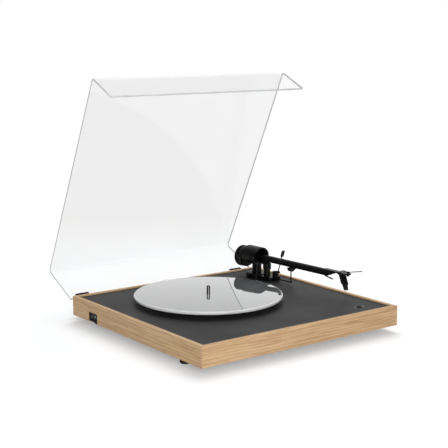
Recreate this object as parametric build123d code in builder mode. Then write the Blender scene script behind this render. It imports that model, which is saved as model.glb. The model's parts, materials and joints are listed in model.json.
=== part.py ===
from build123d import *
import math
import os

# Turntable record player: a wooden frame round a dark deck, a glass platter on a belt
# driven sub-platter, a straight tonearm on its base, and a bent clear lid on two hinges.
# Millimetres. The origin is on the spindle axis at the top of the platter.
# +X points to the tonearm side, +Y to the rear, +Z up.

os.makedirs("parts", exist_ok=True)

# Plinth
plinth_width = 473.0
plinth_depth = 452.0
rail_height = 39.3
rail_thickness = 12.0
rail_edge_round = 0.8
deck_recess = 2.5
deck_thickness = 12.0
deck_lip = 3.7
base_thickness = 4.0
base_inset = 1.0
corner_block_size = 22.0
foot_height = 14.5
foot_radius = 9.6
foot_inset_side = 22.5
foot_inset_rear_side = 34.0
foot_inset_front = 83.6
foot_inset_rear = 46.0
foot_chamfer = 2.0
foot_screw_radius = 2.0
foot_screw_head = 1.6
foot_bore_depth = 4.0
base_screw_radius = 1.4
base_screw_head = 0.8
base_screw_inset = 7.0
fit_gap = 0.2
run_gap = 0.05
move_gap = 0.4

# Platter and main bearing
platter_radius = 150.0
platter_thickness = 6.5
platter_rise = 12.1
platter_left = 30.0
platter_back = 40.0
platter_edge_round = 2.6
spindle_radius = 3.57
spindle_height = 16.0
sub_platter_radius = 60.0
sub_platter_thickness = 9.0
sub_platter_gap = 2.0
pocket_margin = 4.0
belt_width = 4.0
belt_thickness = 0.8
belt_track_depth = 1.0
shaft_radius = 5.0
bush_wall = 2.0
bearing_wall = 4.0
bearing_flange_radius = 24.0
bearing_flange_thickness = 3.0
thrust_ball_radius = 2.5
bearing_cap_thickness = 2.0
bearing_above_base = 1.0

# Motor
motor_left = 78.0
motor_back = 58.0
motor_radius = 18.0
motor_height = 15.5
motor_plate_radius = 27.0
motor_plate_thickness = 1.5
motor_edge_round = 2.0
motor_screw_circle = 22.5
motor_screw_radius = 1.4
motor_screw_head = 1.6
motor_screw_turn = 30.0
motor_screw_count = 3
motor_shaft_radius = 1.5
motor_shaft_depth = 9.0
pulley_radius = 8.0
pulley_height = 6.0
pulley_margin = 3.0

# Control board
board_from_left = 60.0
board_from_front = 60.0
board_width = 70.0
board_depth = 50.0
board_thickness = 1.6
standoff_height = 5.0
standoff_radius = 3.0
standoff_inset = 5.0
chip_size = 12.0
chip_height = 2.0
chip_left = 15.0
chip_front = 18.0
can_radius = 3.0
can_height = 7.0
can_left = 38.0
can_front = 14.0
can_spacing = 10.0
can_count = 3

# Tonearm
pivot_from_side = 51.5
pivot_from_rear = 72.0
arm_height = 30.0
rest_angle = 4.0
arm_overhang = 25.0
tube_radius = 7.2
tube_wall = 1.8
tube_tail = 20.0
tube_before_stylus = 28.0
tube_slant = 28.0
tube_seat = 6.0
tube_back_wall = 4.0
tube_spur_start = 36.0
tube_spur_root = 8.0
tube_spur_reach = 18.0
tube_spur_drop = 3.4
tube_spur_thickness = 1.8
tube_spur_width = 3.0
headshell_front = 6.0
headshell_back = 27.0
headshell_corner = 3.0
headshell_width = 17.0
headshell_thickness = 3.0
cartridge_angle = 20.4
cartridge_flange_back = 25.0
cartridge_flange_length = 14.0
cartridge_flange_thickness = 3.0
cartridge_width = 11.5
cartridge_height = 21.0
cartridge_depth = 11.0
cartridge_rake = 13.0
cartridge_edge_round = 1.0
cartridge_screw_radius = 1.0
cartridge_screw_head = 1.4
cartridge_screw_spacing = 12.7
stylus_width = 8.0
stylus_tip_back = 2.5
stylus_tip_front = 1.5
stylus_front_rise = 3.0
record_thickness = 2.0
finger_length = 30.2
finger_radius = 0.9
finger_sweep = 8.0
clamp_back = 2.0
clamp_side = 4.5
clamp_radius = 2.4
clamp_height = 2.6
clamp_shank = 1.2
nut_radius = 2.8
nut_height = 4.0
yoke_radius = 22.0
yoke_wall = 3.0
yoke_front = 15.5
yoke_rear = 26.0
yoke_floor_drop = 14.0
yoke_floor_thickness = 2.5
yaw_shaft_radius = 4.0
yaw_shaft_length = 30.0
pivot_pin_radius = 1.5
pillar_radius = 10.3
sleeve_wall = 4.0
collar_radius = 23.5
collar_height = 9.6
arm_base_width = 35.0
arm_base_past_lever = 18.0
arm_base_step = 2.0
arm_base_shift = 2.0
arm_base_round = 7.0
weight_radius = 22.5
weight_length = 20.0
weight_drop = 5.0
weight_start = 30.0
weight_dish_radius = 14.0
weight_dish_depth = 10.5
weight_edge_round = 1.2
weight_ring_length = 8.0
weight_groove_width = 1.5
weight_groove_depth = 1.0
stub_radius = 5.0
stub_length = 62.0
lift_reach = 33.0
lift_radius = 7.0
lift_cup_wall = 1.6
lift_cup_lap = 4.0
lift_cup_roof = 1.2
lift_bar_width = 4.0
lift_bar_thickness = 3.0
lift_travel = 6.0
lift_guide_gap = 2.0
lift_out_angle = 12.0
lift_in_angle = 58.0
lift_floor = 1.0
piston_radius = 2.5
lever_reach = 50.0
lever_offset = 17.0
lever_length = 53.0
lever_lean = 18.0
lever_rod_radius = 1.2
lever_hub_radius = 3.2
lever_hub_width = 6.0
lever_above_base = 1.5
lever_tab_length = 14.0
lever_tab_lap = 4.0
lever_tab_width = 9.0
lever_tab_thickness = 3.0
lever_tab_round = 1.4
axle_radius = 1.6
axle_inner = 4.0
axle_past_hub = 2.0
lever_bearing_length = 8.0
lever_bearing_above = 4.0
rest_reach = 108.0
rest_post_radius = 1.4
rest_bar_radius = 1.6
rest_bar_lap = 6.0
rest_bar_end = 2.0
rest_clip_length = 10.0
rest_clip_lip = 2.2
rest_clip_lip_rise = 2.0
rest_clip_depth = 8.0
rest_clip_half_foot = 3.0
rest_clip_inner_depth = 2.5
rest_clip_outer_depth = 3.0

# Lid and hinges
lid_width = 470.0
lid_thickness = 4.0
lid_depth = 455.0
lid_front_drop = 73.0
lid_rear_drop = 99.0
lid_bend_radius = 4.0
lid_open_angle = 64.3
lid_clear_above_plinth = 1.5
bumper_gap = 0.3
bumper_length = 12.0
lid_rear_gap = 7.0
hinge_spacing = 400.0
hinge_width = 31.0
hinge_back = 21.4
hinge_drop = 21.5
hinge_pin_radius = 2.5
hinge_knuckle_radius = 6.0
hinge_cheek = 7.0
hinge_plate = 3.0
leaf_height = 17.0
leaf_thickness = 2.5
hinge_above_base = 1.0
hinge_plate_height = 9.0
hinge_screw_radius = 1.5
hinge_screw_head = 1.4
hinge_screw_spacing = 7.75

# Switch, button and connectors
switch_width = 35.0
switch_height = 20.0
switch_from_rear = 79.0
switch_depth = 26.0
switch_recess = 2.0
switch_wall = 3.0
rocker_radius = 9.0
rocker_length = 20.0
rocker_half_angle = 38.0
rocker_tilt = 10.0
rocker_proud = 1.5
rocker_raise = 1.0
rocker_crease = 1.8
rocker_hub_radius = 3.0
rocker_pin_radius = 1.5
rocker_pin_end = 3.5
button_from_side = 60.5
button_from_front = 45.0
button_radius = 4.5
button_rise = 1.2
button_travel = 1.5
button_flange = 1.5
button_flange_radius = 6.5
button_edge_round = 0.6
button_cup_wall = 2.0
socket_spacing = 16.0
socket_radius = 4.15
socket_length = 9.0
socket_step = 0.3
socket_bore = 2.2
connector_width = 84.0
connector_height = 13.0
connector_above_bottom = 2.5
connector_plate = 2.0
connector_right = 70.0
connector_sunk = 1.0
socket_nut_radius = 5.65
socket_nut_height = 3.0
earth_radius = 2.0
earth_length = 6.0
earth_knob_radius = 4.2
earth_knob_height = 5.0
earth_knob_gap = 2.0
inlet_radius = 4.2
inlet_depth = 8.5
inlet_bore = 2.8
inlet_pin_radius = 1.0
inlet_floor = 2.0

# Levels and edges that follow from the sizes above
rail_top = -platter_rise
rail_bottom = rail_top - rail_height
floor_level = rail_bottom - foot_height
deck_top = rail_top - deck_recess
deck_bottom = deck_top - deck_thickness
base_bottom = rail_bottom + base_inset
base_top = base_bottom + base_thickness
plinth_left = platter_left - plinth_width / 2
plinth_right = platter_left + plinth_width / 2
plinth_front = -platter_back - plinth_depth / 2
plinth_rear = -platter_back + plinth_depth / 2
glass_bottom = -platter_thickness
sub_bottom = glass_bottom - sub_platter_thickness
pocket_floor = sub_bottom - sub_platter_gap
belt_middle = glass_bottom - sub_platter_thickness / 2
track_radius = sub_platter_radius - belt_track_depth
pulley_at = (-motor_left, motor_back)
pivot_right = plinth_right - pivot_from_side
pivot_back = plinth_rear - pivot_from_rear
pivot_at = (pivot_right, pivot_back)
button_at = (plinth_right - button_from_side, plinth_front + button_from_front)
effective_length = math.hypot(pivot_right, pivot_back) + arm_overhang

foot = (Align.CENTER, Align.CENTER, Align.MIN)
corner = (Align.MIN, Align.MIN, Align.MIN)


# Shared shapes
def disc(radius, low, high, at=(0, 0), mode=Mode.ADD):
    """An upright cylinder from one level to another."""
    with Locations((at[0], at[1], low)):
        Cylinder(radius, high - low, align=foot, mode=mode)


def block(x, y, z, mode=Mode.ADD):
    """A box between pairs of coordinates."""
    with Locations((x[0], y[0], z[0])):
        Box(x[1] - x[0], y[1] - y[0], z[1] - z[0], align=corner, mode=mode)


def write(piece, name):
    """Label a finished piece and write its file."""
    piece.part.label = name
    export_step(piece.part, f"parts/{name}.step")


def screw(head_radius, head_height, body_radius, length, places, plane, name):
    """One group of pan-head screws; heads rise along the plane's normal."""
    with BuildPart() as screws:
        for place in places:
            at = plane.from_local_coords(place)
            with BuildSketch(Plane(at, x_dir=plane.x_dir, z_dir=plane.z_dir)) as head:
                Circle(head_radius)
            with BuildSketch(Plane(at, x_dir=plane.x_dir, z_dir=-plane.z_dir)) as body:
                Circle(body_radius)
            extrude(head.sketch, amount=head_height)
            extrude(body.sketch, amount=length)
    write(screws, name)


# Wooden frame: four mitred rails with a step for the deck and a step for the base plate
def rail(inner_points, name, notch=None):
    """A rail whose ends are mitred: outer edge along the plinth, inner edge set in."""
    with BuildPart() as piece:
        with BuildSketch(Plane.XY.offset(rail_bottom)):
            with BuildLine():
                Polyline(*inner_points, close=True)
            make_face()
        extrude(amount=rail_height)
        outer_top = piece.edges().filter_by(Plane.XY).group_by(Axis.Z)[-1].sort_by(Edge.length)[-1]
        fillet(outer_top, rail_edge_round)
        lip_x = (plinth_left + rail_thickness - deck_lip, plinth_right - rail_thickness + deck_lip)
        lip_y = (plinth_front + rail_thickness - deck_lip, plinth_rear - rail_thickness + deck_lip)
        block(lip_x, lip_y, (deck_bottom, rail_top + 1), mode=Mode.SUBTRACT)
        if notch:
            block(*notch, mode=Mode.SUBTRACT)
    write(piece, name)


outer = [(plinth_left, plinth_front), (plinth_right, plinth_front),
         (plinth_right, plinth_rear), (plinth_left, plinth_rear)]
inner = [(plinth_left + rail_thickness, plinth_front + rail_thickness),
         (plinth_right - rail_thickness, plinth_front + rail_thickness),
         (plinth_right - rail_thickness, plinth_rear - rail_thickness),
         (plinth_left + rail_thickness, plinth_rear - rail_thickness)]
switch_y = (plinth_rear - switch_from_rear - switch_width / 2,
            plinth_rear - switch_from_rear + switch_width / 2)
switch_z = (rail_bottom, rail_bottom + switch_height)
switch_notch = ((plinth_left - 1, plinth_left + rail_thickness + 1), switch_y,
                (rail_bottom - 1, switch_z[1]))
connector_x = (connector_right - connector_width / 2, connector_right + connector_width / 2)
connector_low = rail_bottom + connector_above_bottom
connector_z = (connector_low, connector_low + connector_height)
connector_notch = (connector_x, (plinth_rear - rail_thickness - 1, plinth_rear + 1), connector_z)
rail([outer[0], outer[1], inner[1], inner[0]], "front_rail")
rail([outer[1], outer[2], inner[2], inner[1]], "right_rail")
rail([outer[2], outer[3], inner[3], inner[2]], "rear_rail", connector_notch)
rail([outer[3], outer[0], inner[0], inner[3]], "left_rail", switch_notch)

# Corner blocks glued inside the frame
with BuildPart() as corner_blocks:
    for x_near, x_step in ((inner[0][0], 1), (inner[1][0], -1)):
        for y_near, y_step in ((inner[0][1], 1), (inner[2][1], -1)):
            x_far = x_near + x_step * corner_block_size
            y_far = y_near + y_step * corner_block_size
            with BuildSketch(Plane.XY.offset(base_top)) as triangle:
                with BuildLine():
                    Polyline((x_near, y_near), (x_far, y_near), (x_near, y_far), close=True)
                make_face()
            extrude(triangle.sketch, amount=deck_bottom - base_top)
write(corner_blocks, "corner_blocks")

# Deck panel with its openings
deck_x = (plinth_left + rail_thickness - deck_lip + fit_gap,
          plinth_right - rail_thickness + deck_lip - fit_gap)
deck_y = (plinth_front + rail_thickness - deck_lip + fit_gap,
          plinth_rear - rail_thickness + deck_lip - fit_gap)
bush_radius = shaft_radius + run_gap + bush_wall
bearing_radius = bush_radius + bearing_wall
with BuildPart() as deck_panel:
    block(deck_x, deck_y, (deck_bottom, deck_top))
    disc(sub_platter_radius + pocket_margin, pocket_floor, deck_top + 1, mode=Mode.SUBTRACT)
    disc(bearing_radius + fit_gap, deck_bottom - 1, deck_top, mode=Mode.SUBTRACT)
    disc(pulley_radius + pulley_margin, deck_bottom - 1, deck_top + 1, pulley_at, Mode.SUBTRACT)
    disc(yaw_shaft_radius + sleeve_wall, deck_bottom - 1, deck_top + 1, pivot_at, Mode.SUBTRACT)
    disc(button_radius + move_gap, deck_bottom - 1, deck_top + 1, button_at, Mode.SUBTRACT)
write(deck_panel, "deck_panel")

# Base plate under the frame, held by a screw into each corner block
base_screw_places = [(x, y) for x in (inner[0][0] + base_screw_inset, inner[1][0] - base_screw_inset)
                     for y in (inner[0][1] + base_screw_inset, inner[2][1] - base_screw_inset)]
with BuildPart() as base_plate:
    block((inner[0][0] + fit_gap, inner[1][0] - fit_gap), (inner[0][1] + fit_gap, inner[2][1] - fit_gap),
          (base_bottom, base_top))
    block((inner[0][0], inner[0][0] + switch_depth - rail_thickness + switch_wall),
          (switch_y[0] - switch_wall, switch_y[1] + switch_wall), (base_bottom - 1, base_top + 1),
          mode=Mode.SUBTRACT)
    for place in base_screw_places:
        disc(base_screw_radius, base_bottom - 1, base_top + 1, place, Mode.SUBTRACT)
write(base_plate, "base_plate")
under_base = Plane((0, 0, base_bottom), x_dir=(1, 0, 0), z_dir=(0, 0, -1))
screw(2 * base_screw_radius, base_screw_head, base_screw_radius, base_thickness,
      [(x, -y, 0) for x, y in base_screw_places], under_base, "base_screws")

# Feet and their screws
foot_rows = ((foot_inset_side, plinth_front + foot_inset_front),
             (foot_inset_rear_side, plinth_rear - foot_inset_rear))
foot_places = [(x, y) for inset, y in foot_rows for x in (plinth_left + inset, plinth_right - inset)]
with BuildPart() as feet:
    for place in foot_places:
        disc(foot_radius, floor_level, base_bottom, place)
    lower_edges = feet.edges().filter_by(GeomType.CIRCLE).group_by(Axis.Z)[0]
    chamfer(lower_edges, foot_chamfer)
    for place in foot_places:
        disc(foot_screw_radius * 2, floor_level - 1, floor_level + foot_bore_depth, place, Mode.SUBTRACT)
        disc(foot_screw_radius, floor_level, base_bottom + 1, place, Mode.SUBTRACT)
write(feet, "feet")
under_foot = Plane((0, 0, floor_level + foot_bore_depth), x_dir=(1, 0, 0), z_dir=(0, 0, -1))
foot_screw_length = base_bottom - floor_level - foot_bore_depth
screw(foot_screw_radius * 2 - fit_gap, foot_screw_head, foot_screw_radius, foot_screw_length,
      [(x, -y, 0) for x, y in foot_places], under_foot, "foot_screws")

# Main bearing: housing hung in the deck, bush, thrust ball and end cap
housing_bottom = base_top + bearing_above_base
shaft_bottom = housing_bottom + bearing_cap_thickness + 2 * thrust_ball_radius
with BuildPart() as bearing_housing:
    disc(bearing_radius, housing_bottom, pocket_floor)
    disc(bearing_flange_radius, deck_bottom - bearing_flange_thickness, deck_bottom)
    disc(bush_radius, housing_bottom - 1, pocket_floor + 1, mode=Mode.SUBTRACT)
write(bearing_housing, "bearing_housing")
with BuildPart() as bearing_bush:
    disc(bush_radius, shaft_bottom, pocket_floor)
    disc(shaft_radius + run_gap, shaft_bottom - 1, pocket_floor + 1, mode=Mode.SUBTRACT)
write(bearing_bush, "bearing_bush")
with BuildPart() as bearing_cap:
    disc(bush_radius, housing_bottom, housing_bottom + bearing_cap_thickness)
write(bearing_cap, "bearing_cap")
ball_level = shaft_bottom - thrust_ball_radius
with BuildPart() as thrust_ball:
    with Locations((0, 0, ball_level)):
        Sphere(thrust_ball_radius)
write(thrust_ball, "thrust_ball")

# Platter, sub-platter and spindle turn together
glass_hole_radius = shaft_radius + fit_gap / 2
with BuildPart() as glass_platter:
    disc(platter_radius, glass_bottom, 0)
    rims = glass_platter.edges().filter_by(GeomType.CIRCLE)
    fillet(rims, platter_edge_round)
    disc(glass_hole_radius, glass_bottom - 1, 1, mode=Mode.SUBTRACT)
write(glass_platter, "glass_platter")
belt_low = belt_middle - belt_width / 2
with BuildPart() as sub_platter:
    disc(sub_platter_radius, sub_bottom, glass_bottom)
    with BuildSketch(Plane.XY.offset(belt_low - move_gap)) as track:
        Circle(sub_platter_radius + 1)
        Circle(track_radius, mode=Mode.SUBTRACT)
    extrude(track.sketch, amount=belt_width + 2 * move_gap, mode=Mode.SUBTRACT)
    disc(shaft_radius, sub_bottom - 1, glass_bottom + 1, mode=Mode.SUBTRACT)
write(sub_platter, "sub_platter")
with BuildPart() as spindle:
    disc(shaft_radius, shaft_bottom, 0)
    disc(spindle_radius, 0, spindle_height)
    fillet(spindle.edges().group_by(Axis.Z)[-1], spindle_radius * 0.7)
write(spindle, "spindle")

# Motor under the deck, its plate, screws, shaft and pulley
plate_low = deck_bottom - motor_plate_thickness
motor_low = plate_low - motor_height
motor_screw_places = []
for step in range(motor_screw_count):
    turn = math.radians(motor_screw_turn + step * 360 / motor_screw_count)
    motor_screw_places.append((pulley_at[0] + motor_screw_circle * math.cos(turn),
                               pulley_at[1] + motor_screw_circle * math.sin(turn)))
with BuildPart() as motor_plate:
    disc(motor_plate_radius, plate_low, deck_bottom, pulley_at)
    disc(pulley_radius, plate_low - 1, deck_bottom + 1, pulley_at, Mode.SUBTRACT)
    for place in motor_screw_places:
        disc(motor_screw_radius, plate_low - 1, deck_bottom + 1, place, Mode.SUBTRACT)
write(motor_plate, "motor_plate")
with BuildPart() as motor_body:
    disc(motor_radius, motor_low, plate_low, pulley_at)
    motor_rims = motor_body.edges().filter_by(GeomType.CIRCLE).group_by(Axis.Z)[0]
    fillet(motor_rims, motor_edge_round)
    disc(motor_shaft_radius + run_gap, plate_low - motor_shaft_depth - 1, plate_low + 1, pulley_at,
         Mode.SUBTRACT)
write(motor_body, "motor_body")
under_plate = Plane((0, 0, plate_low), x_dir=(1, 0, 0), z_dir=(0, 0, -1))
screw(2 * motor_screw_radius, motor_screw_head, motor_screw_radius, motor_plate_thickness,
      [(x, -y, 0) for x, y in motor_screw_places], under_plate, "motor_screws")
pulley_high = belt_middle + pulley_height / 2
pulley_low = belt_middle - pulley_height / 2
with BuildPart() as motor_pulley:
    disc(pulley_radius, pulley_low, pulley_high, pulley_at)
    with BuildSketch(Plane.XY.offset(belt_low - move_gap)) as groove:
        with Locations(pulley_at):
            Circle(pulley_radius + 1)
            Circle(pulley_radius - belt_track_depth, mode=Mode.SUBTRACT)
    extrude(groove.sketch, amount=belt_width + 2 * move_gap, mode=Mode.SUBTRACT)
    disc(motor_shaft_radius, pulley_low - 1, pulley_high + 1, pulley_at, Mode.SUBTRACT)
write(motor_pulley, "motor_pulley")
with BuildPart() as motor_shaft:
    disc(motor_shaft_radius, plate_low - motor_shaft_depth, pulley_high, pulley_at)
write(motor_shaft, "motor_shaft")

# Flat belt round the sub-platter's track and the pulley
with BuildPart() as drive_belt:
    with BuildSketch(Plane.XY.offset(belt_low)):
        with BuildLine():
            CenterArc((0, 0), track_radius + move_gap + belt_thickness, 0, 360)
            CenterArc(pulley_at, pulley_radius - belt_track_depth + move_gap + belt_thickness, 0, 360)
        make_hull()
    extrude(amount=belt_width)
    with BuildSketch(Plane.XY.offset(belt_low)):
        with BuildLine():
            CenterArc((0, 0), track_radius + move_gap, 0, 360)
            CenterArc(pulley_at, pulley_radius - belt_track_depth + move_gap, 0, 360)
        make_hull()
    extrude(amount=belt_width, mode=Mode.SUBTRACT)
write(drive_belt, "drive_belt")

# Control board on stand-offs over the base plate
board_x = (plinth_left + board_from_left, plinth_left + board_from_left + board_width)
board_y = (plinth_front + board_from_front, plinth_front + board_from_front + board_depth)
board_low = base_top + standoff_height
board_top = board_low + board_thickness
with BuildPart() as board_standoffs:
    for x in (board_x[0] + standoff_inset, board_x[1] - standoff_inset):
        for y in (board_y[0] + standoff_inset, board_y[1] - standoff_inset):
            disc(standoff_radius, base_top, board_low, (x, y))
write(board_standoffs, "board_standoffs")
with BuildPart() as control_board:
    block(board_x, board_y, (board_low, board_top))
    chip_x = board_x[0] + chip_left
    chip_y = board_y[0] + chip_front
    block((chip_x, chip_x + chip_size), (chip_y, chip_y + chip_size), (board_top, board_top + chip_height))
    for step in range(can_count):
        can_at = (board_x[0] + can_left + can_spacing * step, board_y[0] + can_front)
        disc(can_radius, board_top, board_top + can_height, can_at)
write(control_board, "control_board")

# Power switch in the left rail: housing and rocker on a pin along Y
switch_x = (plinth_left + switch_recess, plinth_left + switch_depth)
rocker_y = (sum(switch_y) - rocker_length) / 2
rocker_axis_x = switch_x[0] + rocker_radius - rocker_proud
rocker_axis_z = sum(switch_z) / 2 + rocker_raise
rocker_opening = rocker_radius * math.sin(math.radians(rocker_half_angle + rocker_tilt)) + move_gap


def rocker_pin_plane(reach):
    """A plane across the rocker's pin, at a reach before the rocker's near end."""
    return Plane((rocker_axis_x, rocker_y - reach, rocker_axis_z), x_dir=(-1, 0, 0), z_dir=(0, 1, 0))


with BuildPart() as switch_housing:
    block(switch_x, (switch_y[0] + fit_gap, switch_y[1] - fit_gap), (base_bottom, switch_z[1] - fit_gap))
    block((switch_x[0] - 1, rocker_axis_x + rocker_radius),
          (rocker_y - move_gap, rocker_y + rocker_length + move_gap),
          (rocker_axis_z - rocker_opening, rocker_axis_z + rocker_opening), mode=Mode.SUBTRACT)
    with BuildSketch(rocker_pin_plane(rocker_pin_end + fit_gap)):
        Circle(rocker_pin_radius + run_gap)
    extrude(amount=rocker_length + 2 * (rocker_pin_end + fit_gap), mode=Mode.SUBTRACT)
write(switch_housing, "switch_housing")
upper = math.radians(rocker_half_angle + rocker_tilt)
lower = math.radians(-rocker_half_angle + rocker_tilt)
middle = math.radians(rocker_tilt)
crease = rocker_radius - rocker_crease
with BuildPart() as power_rocker:
    with BuildSketch(rocker_pin_plane(0)):
        with BuildLine():
            Polyline((0, 0), (rocker_radius * math.cos(upper), rocker_radius * math.sin(upper)),
                     (crease * math.cos(middle), crease * math.sin(middle)),
                     (rocker_radius * math.cos(lower), rocker_radius * math.sin(lower)), close=True)
        make_face()
        Circle(rocker_hub_radius)
    extrude(amount=rocker_length)
    with BuildSketch(rocker_pin_plane(rocker_pin_end)):
        Circle(rocker_pin_radius)
    extrude(amount=rocker_length + 2 * rocker_pin_end)
write(power_rocker, "power_rocker")

# Speed button in the deck and the switch under it
flange_top = deck_bottom - move_gap
cup_floor = flange_top - button_flange - button_travel - move_gap
cup_radius = button_flange_radius + move_gap
with BuildPart() as speed_button:
    disc(button_radius, flange_top, deck_top + button_rise, button_at)
    fillet(speed_button.edges().group_by(Axis.Z)[-1], button_edge_round)
    disc(button_flange_radius, flange_top - button_flange, flange_top, button_at)
write(speed_button, "speed_button")
with BuildPart() as button_switch:
    disc(cup_radius + button_cup_wall, cup_floor - button_cup_wall, deck_bottom, button_at)
    disc(cup_radius, cup_floor, deck_bottom + 1, button_at, Mode.SUBTRACT)
write(button_switch, "button_switch")

# Connector plate in the rear rail with two signal sockets, an earth post and a power inlet
plate_y = plinth_rear - connector_plate - connector_sunk
socket_z = sum(connector_z) / 2


def rear_plane(out):
    """A plane behind the connector plate's inner face; its normal points to the rear."""
    return Plane((connector_right, plate_y + out, socket_z), x_dir=(-1, 0, 0), z_dir=(0, 1, 0))


rear_inner = rear_plane(0)
rear_face = rear_plane(connector_plate)
socket_places = (-socket_spacing, 0.0)
earth_place = socket_spacing
inlet_place = 2 * socket_spacing
with BuildPart() as connector_panel:
    block((connector_x[0] + fit_gap, connector_x[1] - fit_gap), (plate_y, plate_y + connector_plate),
          (connector_z[0] + fit_gap, connector_z[1] - fit_gap))
    with BuildSketch(rear_inner):
        for place in socket_places:
            with Locations((place, 0)):
                Circle(socket_radius - socket_step)
        with Locations((earth_place, 0)):
            Circle(earth_radius)
        with Locations((inlet_place, 0)):
            Circle(inlet_radius)
    extrude(amount=connector_plate, mode=Mode.SUBTRACT)
write(connector_panel, "connector_panel")
with BuildPart() as signal_sockets:
    with BuildSketch(rear_inner):
        for place in socket_places:
            with Locations((place, 0)):
                Circle(socket_radius - socket_step)
    extrude(amount=connector_plate)
    with BuildSketch(rear_face):
        for place in socket_places:
            with Locations((place, 0)):
                Circle(socket_radius)
    extrude(amount=socket_length)
    with BuildSketch(rear_face):
        for place in socket_places:
            with Locations((place, 0)):
                Circle(socket_bore)
    extrude(amount=socket_length, mode=Mode.SUBTRACT)
    with BuildSketch(rear_plane(-socket_nut_height)):
        for place in socket_places:
            with Locations((place, 0)):
                Circle(socket_nut_radius)
    extrude(amount=socket_nut_height)
write(signal_sockets, "signal_sockets")
with BuildPart() as earth_post:
    with BuildSketch(rear_inner):
        with Locations((earth_place, 0)):
            Circle(earth_radius)
    extrude(amount=connector_plate + earth_length)
    with BuildSketch(rear_plane(connector_plate + earth_knob_gap)):
        with Locations((earth_place, 0)):
            Circle(earth_knob_radius)
    extrude(amount=earth_knob_height)
write(earth_post, "earth_post")
with BuildPart() as power_inlet:
    with BuildSketch(rear_plane(-inlet_depth)):
        with Locations((inlet_place, 0)):
            Circle(inlet_radius)
    extrude(amount=inlet_depth + connector_plate)
    with BuildSketch(rear_plane(inlet_floor - inlet_depth)):
        with Locations((inlet_place, 0)):
            Circle(inlet_bore)
            Circle(inlet_pin_radius, mode=Mode.SUBTRACT)
    extrude(amount=inlet_depth - inlet_floor + connector_plate, mode=Mode.SUBTRACT)
write(power_inlet, "power_inlet")

# Lid: one clear sheet bent twice, drawn as it lies closed and turned open about the hinge axis
axis_y = plinth_rear + hinge_back
axis_z = rail_top - hinge_drop
tilt = math.radians(lid_open_angle)
forward = (0, -math.cos(tilt), math.sin(tilt))


def swing_plane(x):
    """The lid's side plane at x: local x runs forward, local y up, from the hinge axis."""
    return Plane((x, axis_y, axis_z), x_dir=forward, z_dir=(-1, 0, 0))


def fixed_plane(x):
    """The plinth's side plane at x: local x runs forward, local y up, from the hinge axis."""
    return Plane((x, axis_y, axis_z), x_dir=(0, -1, 0), z_dir=(-1, 0, 0))


sheet_rear = hinge_back - lid_rear_gap
sheet_top = hinge_drop + lid_clear_above_plinth + lid_front_drop
sheet_front = sheet_rear + lid_depth
half_sheet = lid_thickness / 2
rear_end = sheet_top - lid_rear_drop
front_end = sheet_top - lid_front_drop
with BuildPart() as lid_cover:
    with BuildSketch(swing_plane(platter_left + lid_width / 2)):
        with BuildLine():
            outside = FilletPolyline((sheet_rear - half_sheet, rear_end),
                                     (sheet_rear - half_sheet, sheet_top + half_sheet),
                                     (sheet_front + half_sheet, sheet_top + half_sheet),
                                     (sheet_front + half_sheet, front_end),
                                     radius=lid_bend_radius + lid_thickness)
            inside = FilletPolyline((sheet_rear + half_sheet, rear_end),
                                    (sheet_rear + half_sheet, sheet_top - half_sheet),
                                    (sheet_front - half_sheet, sheet_top - half_sheet),
                                    (sheet_front - half_sheet, front_end), radius=lid_bend_radius)
            Line(outside @ 0, inside @ 0)
            Line(outside @ 1, inside @ 1)
        make_face()
    extrude(amount=lid_width)
write(lid_cover, "lid_cover")
bumper_low = front_end - lid_clear_above_plinth + bumper_gap
with BuildPart() as lid_bumpers:
    for side in (-1, 1):
        with BuildSketch(swing_plane(platter_left + (side * hinge_spacing + bumper_length) / 2)) as pad:
            with Locations((sheet_front, (bumper_low + front_end) / 2)):
                Rectangle(lid_thickness, front_end - bumper_low)
        extrude(pad.sketch, amount=bumper_length)
write(lid_bumpers, "lid_bumpers")

# Hinges: a bracket under each leaf, a leaf behind the lid's rear flange, one pin each
hinge_centres = [platter_left + side * hinge_spacing / 2 for side in (-1, 1)]
cheek_low = hinge_drop - rail_height + hinge_above_base
arm_high = cheek_low + hinge_plate_height
plate_middle = (cheek_low + arm_high) / 2
rear_wall = Plane((0, plinth_rear, axis_z + plate_middle), x_dir=(-1, 0, 0), z_dir=(0, 1, 0))


def hinge_screw_places(centre):
    """Two screws between the cheeks, on the rear wall's plane."""
    return [(-centre + side * hinge_screw_spacing / 2, 0, 0) for side in (-1, 1)]


with BuildPart() as hinge_brackets:
    for centre in hinge_centres:
        right_edge = centre + hinge_width / 2
        with BuildSketch(fixed_plane(right_edge)) as plate:
            with Locations((hinge_back - hinge_plate / 2, plate_middle)):
                Rectangle(hinge_plate, arm_high - cheek_low)
        extrude(plate.sketch, amount=hinge_width)
        for place in hinge_screw_places(centre):
            with BuildSketch(rear_wall) as hole:
                with Locations(place):
                    Circle(hinge_screw_radius)
            extrude(hole.sketch, amount=hinge_plate, mode=Mode.SUBTRACT)
        for start in (right_edge, right_edge - hinge_width + hinge_cheek):
            with BuildSketch(fixed_plane(start)) as cheek:
                Circle(hinge_knuckle_radius)
                with Locations(((hinge_back - hinge_knuckle_radius) / 2, plate_middle)):
                    Rectangle(hinge_back + hinge_knuckle_radius, arm_high - cheek_low)
                with Locations((0, arm_high / 2)):
                    Rectangle(2 * hinge_knuckle_radius, -arm_high)
                Circle(hinge_pin_radius, mode=Mode.SUBTRACT)
            extrude(cheek.sketch, amount=hinge_cheek)
write(hinge_brackets, "hinge_brackets")
all_hinge_screws = hinge_screw_places(hinge_centres[0]) + hinge_screw_places(hinge_centres[1])
screw(2 * hinge_screw_radius, hinge_screw_head, hinge_screw_radius, hinge_plate, all_hinge_screws,
      rear_wall.offset(hinge_plate), "hinge_screws")
leaf_face = sheet_rear - half_sheet
leaf_low = rear_end
knuckle_width = hinge_width - 2 * hinge_cheek - 2 * move_gap
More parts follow.
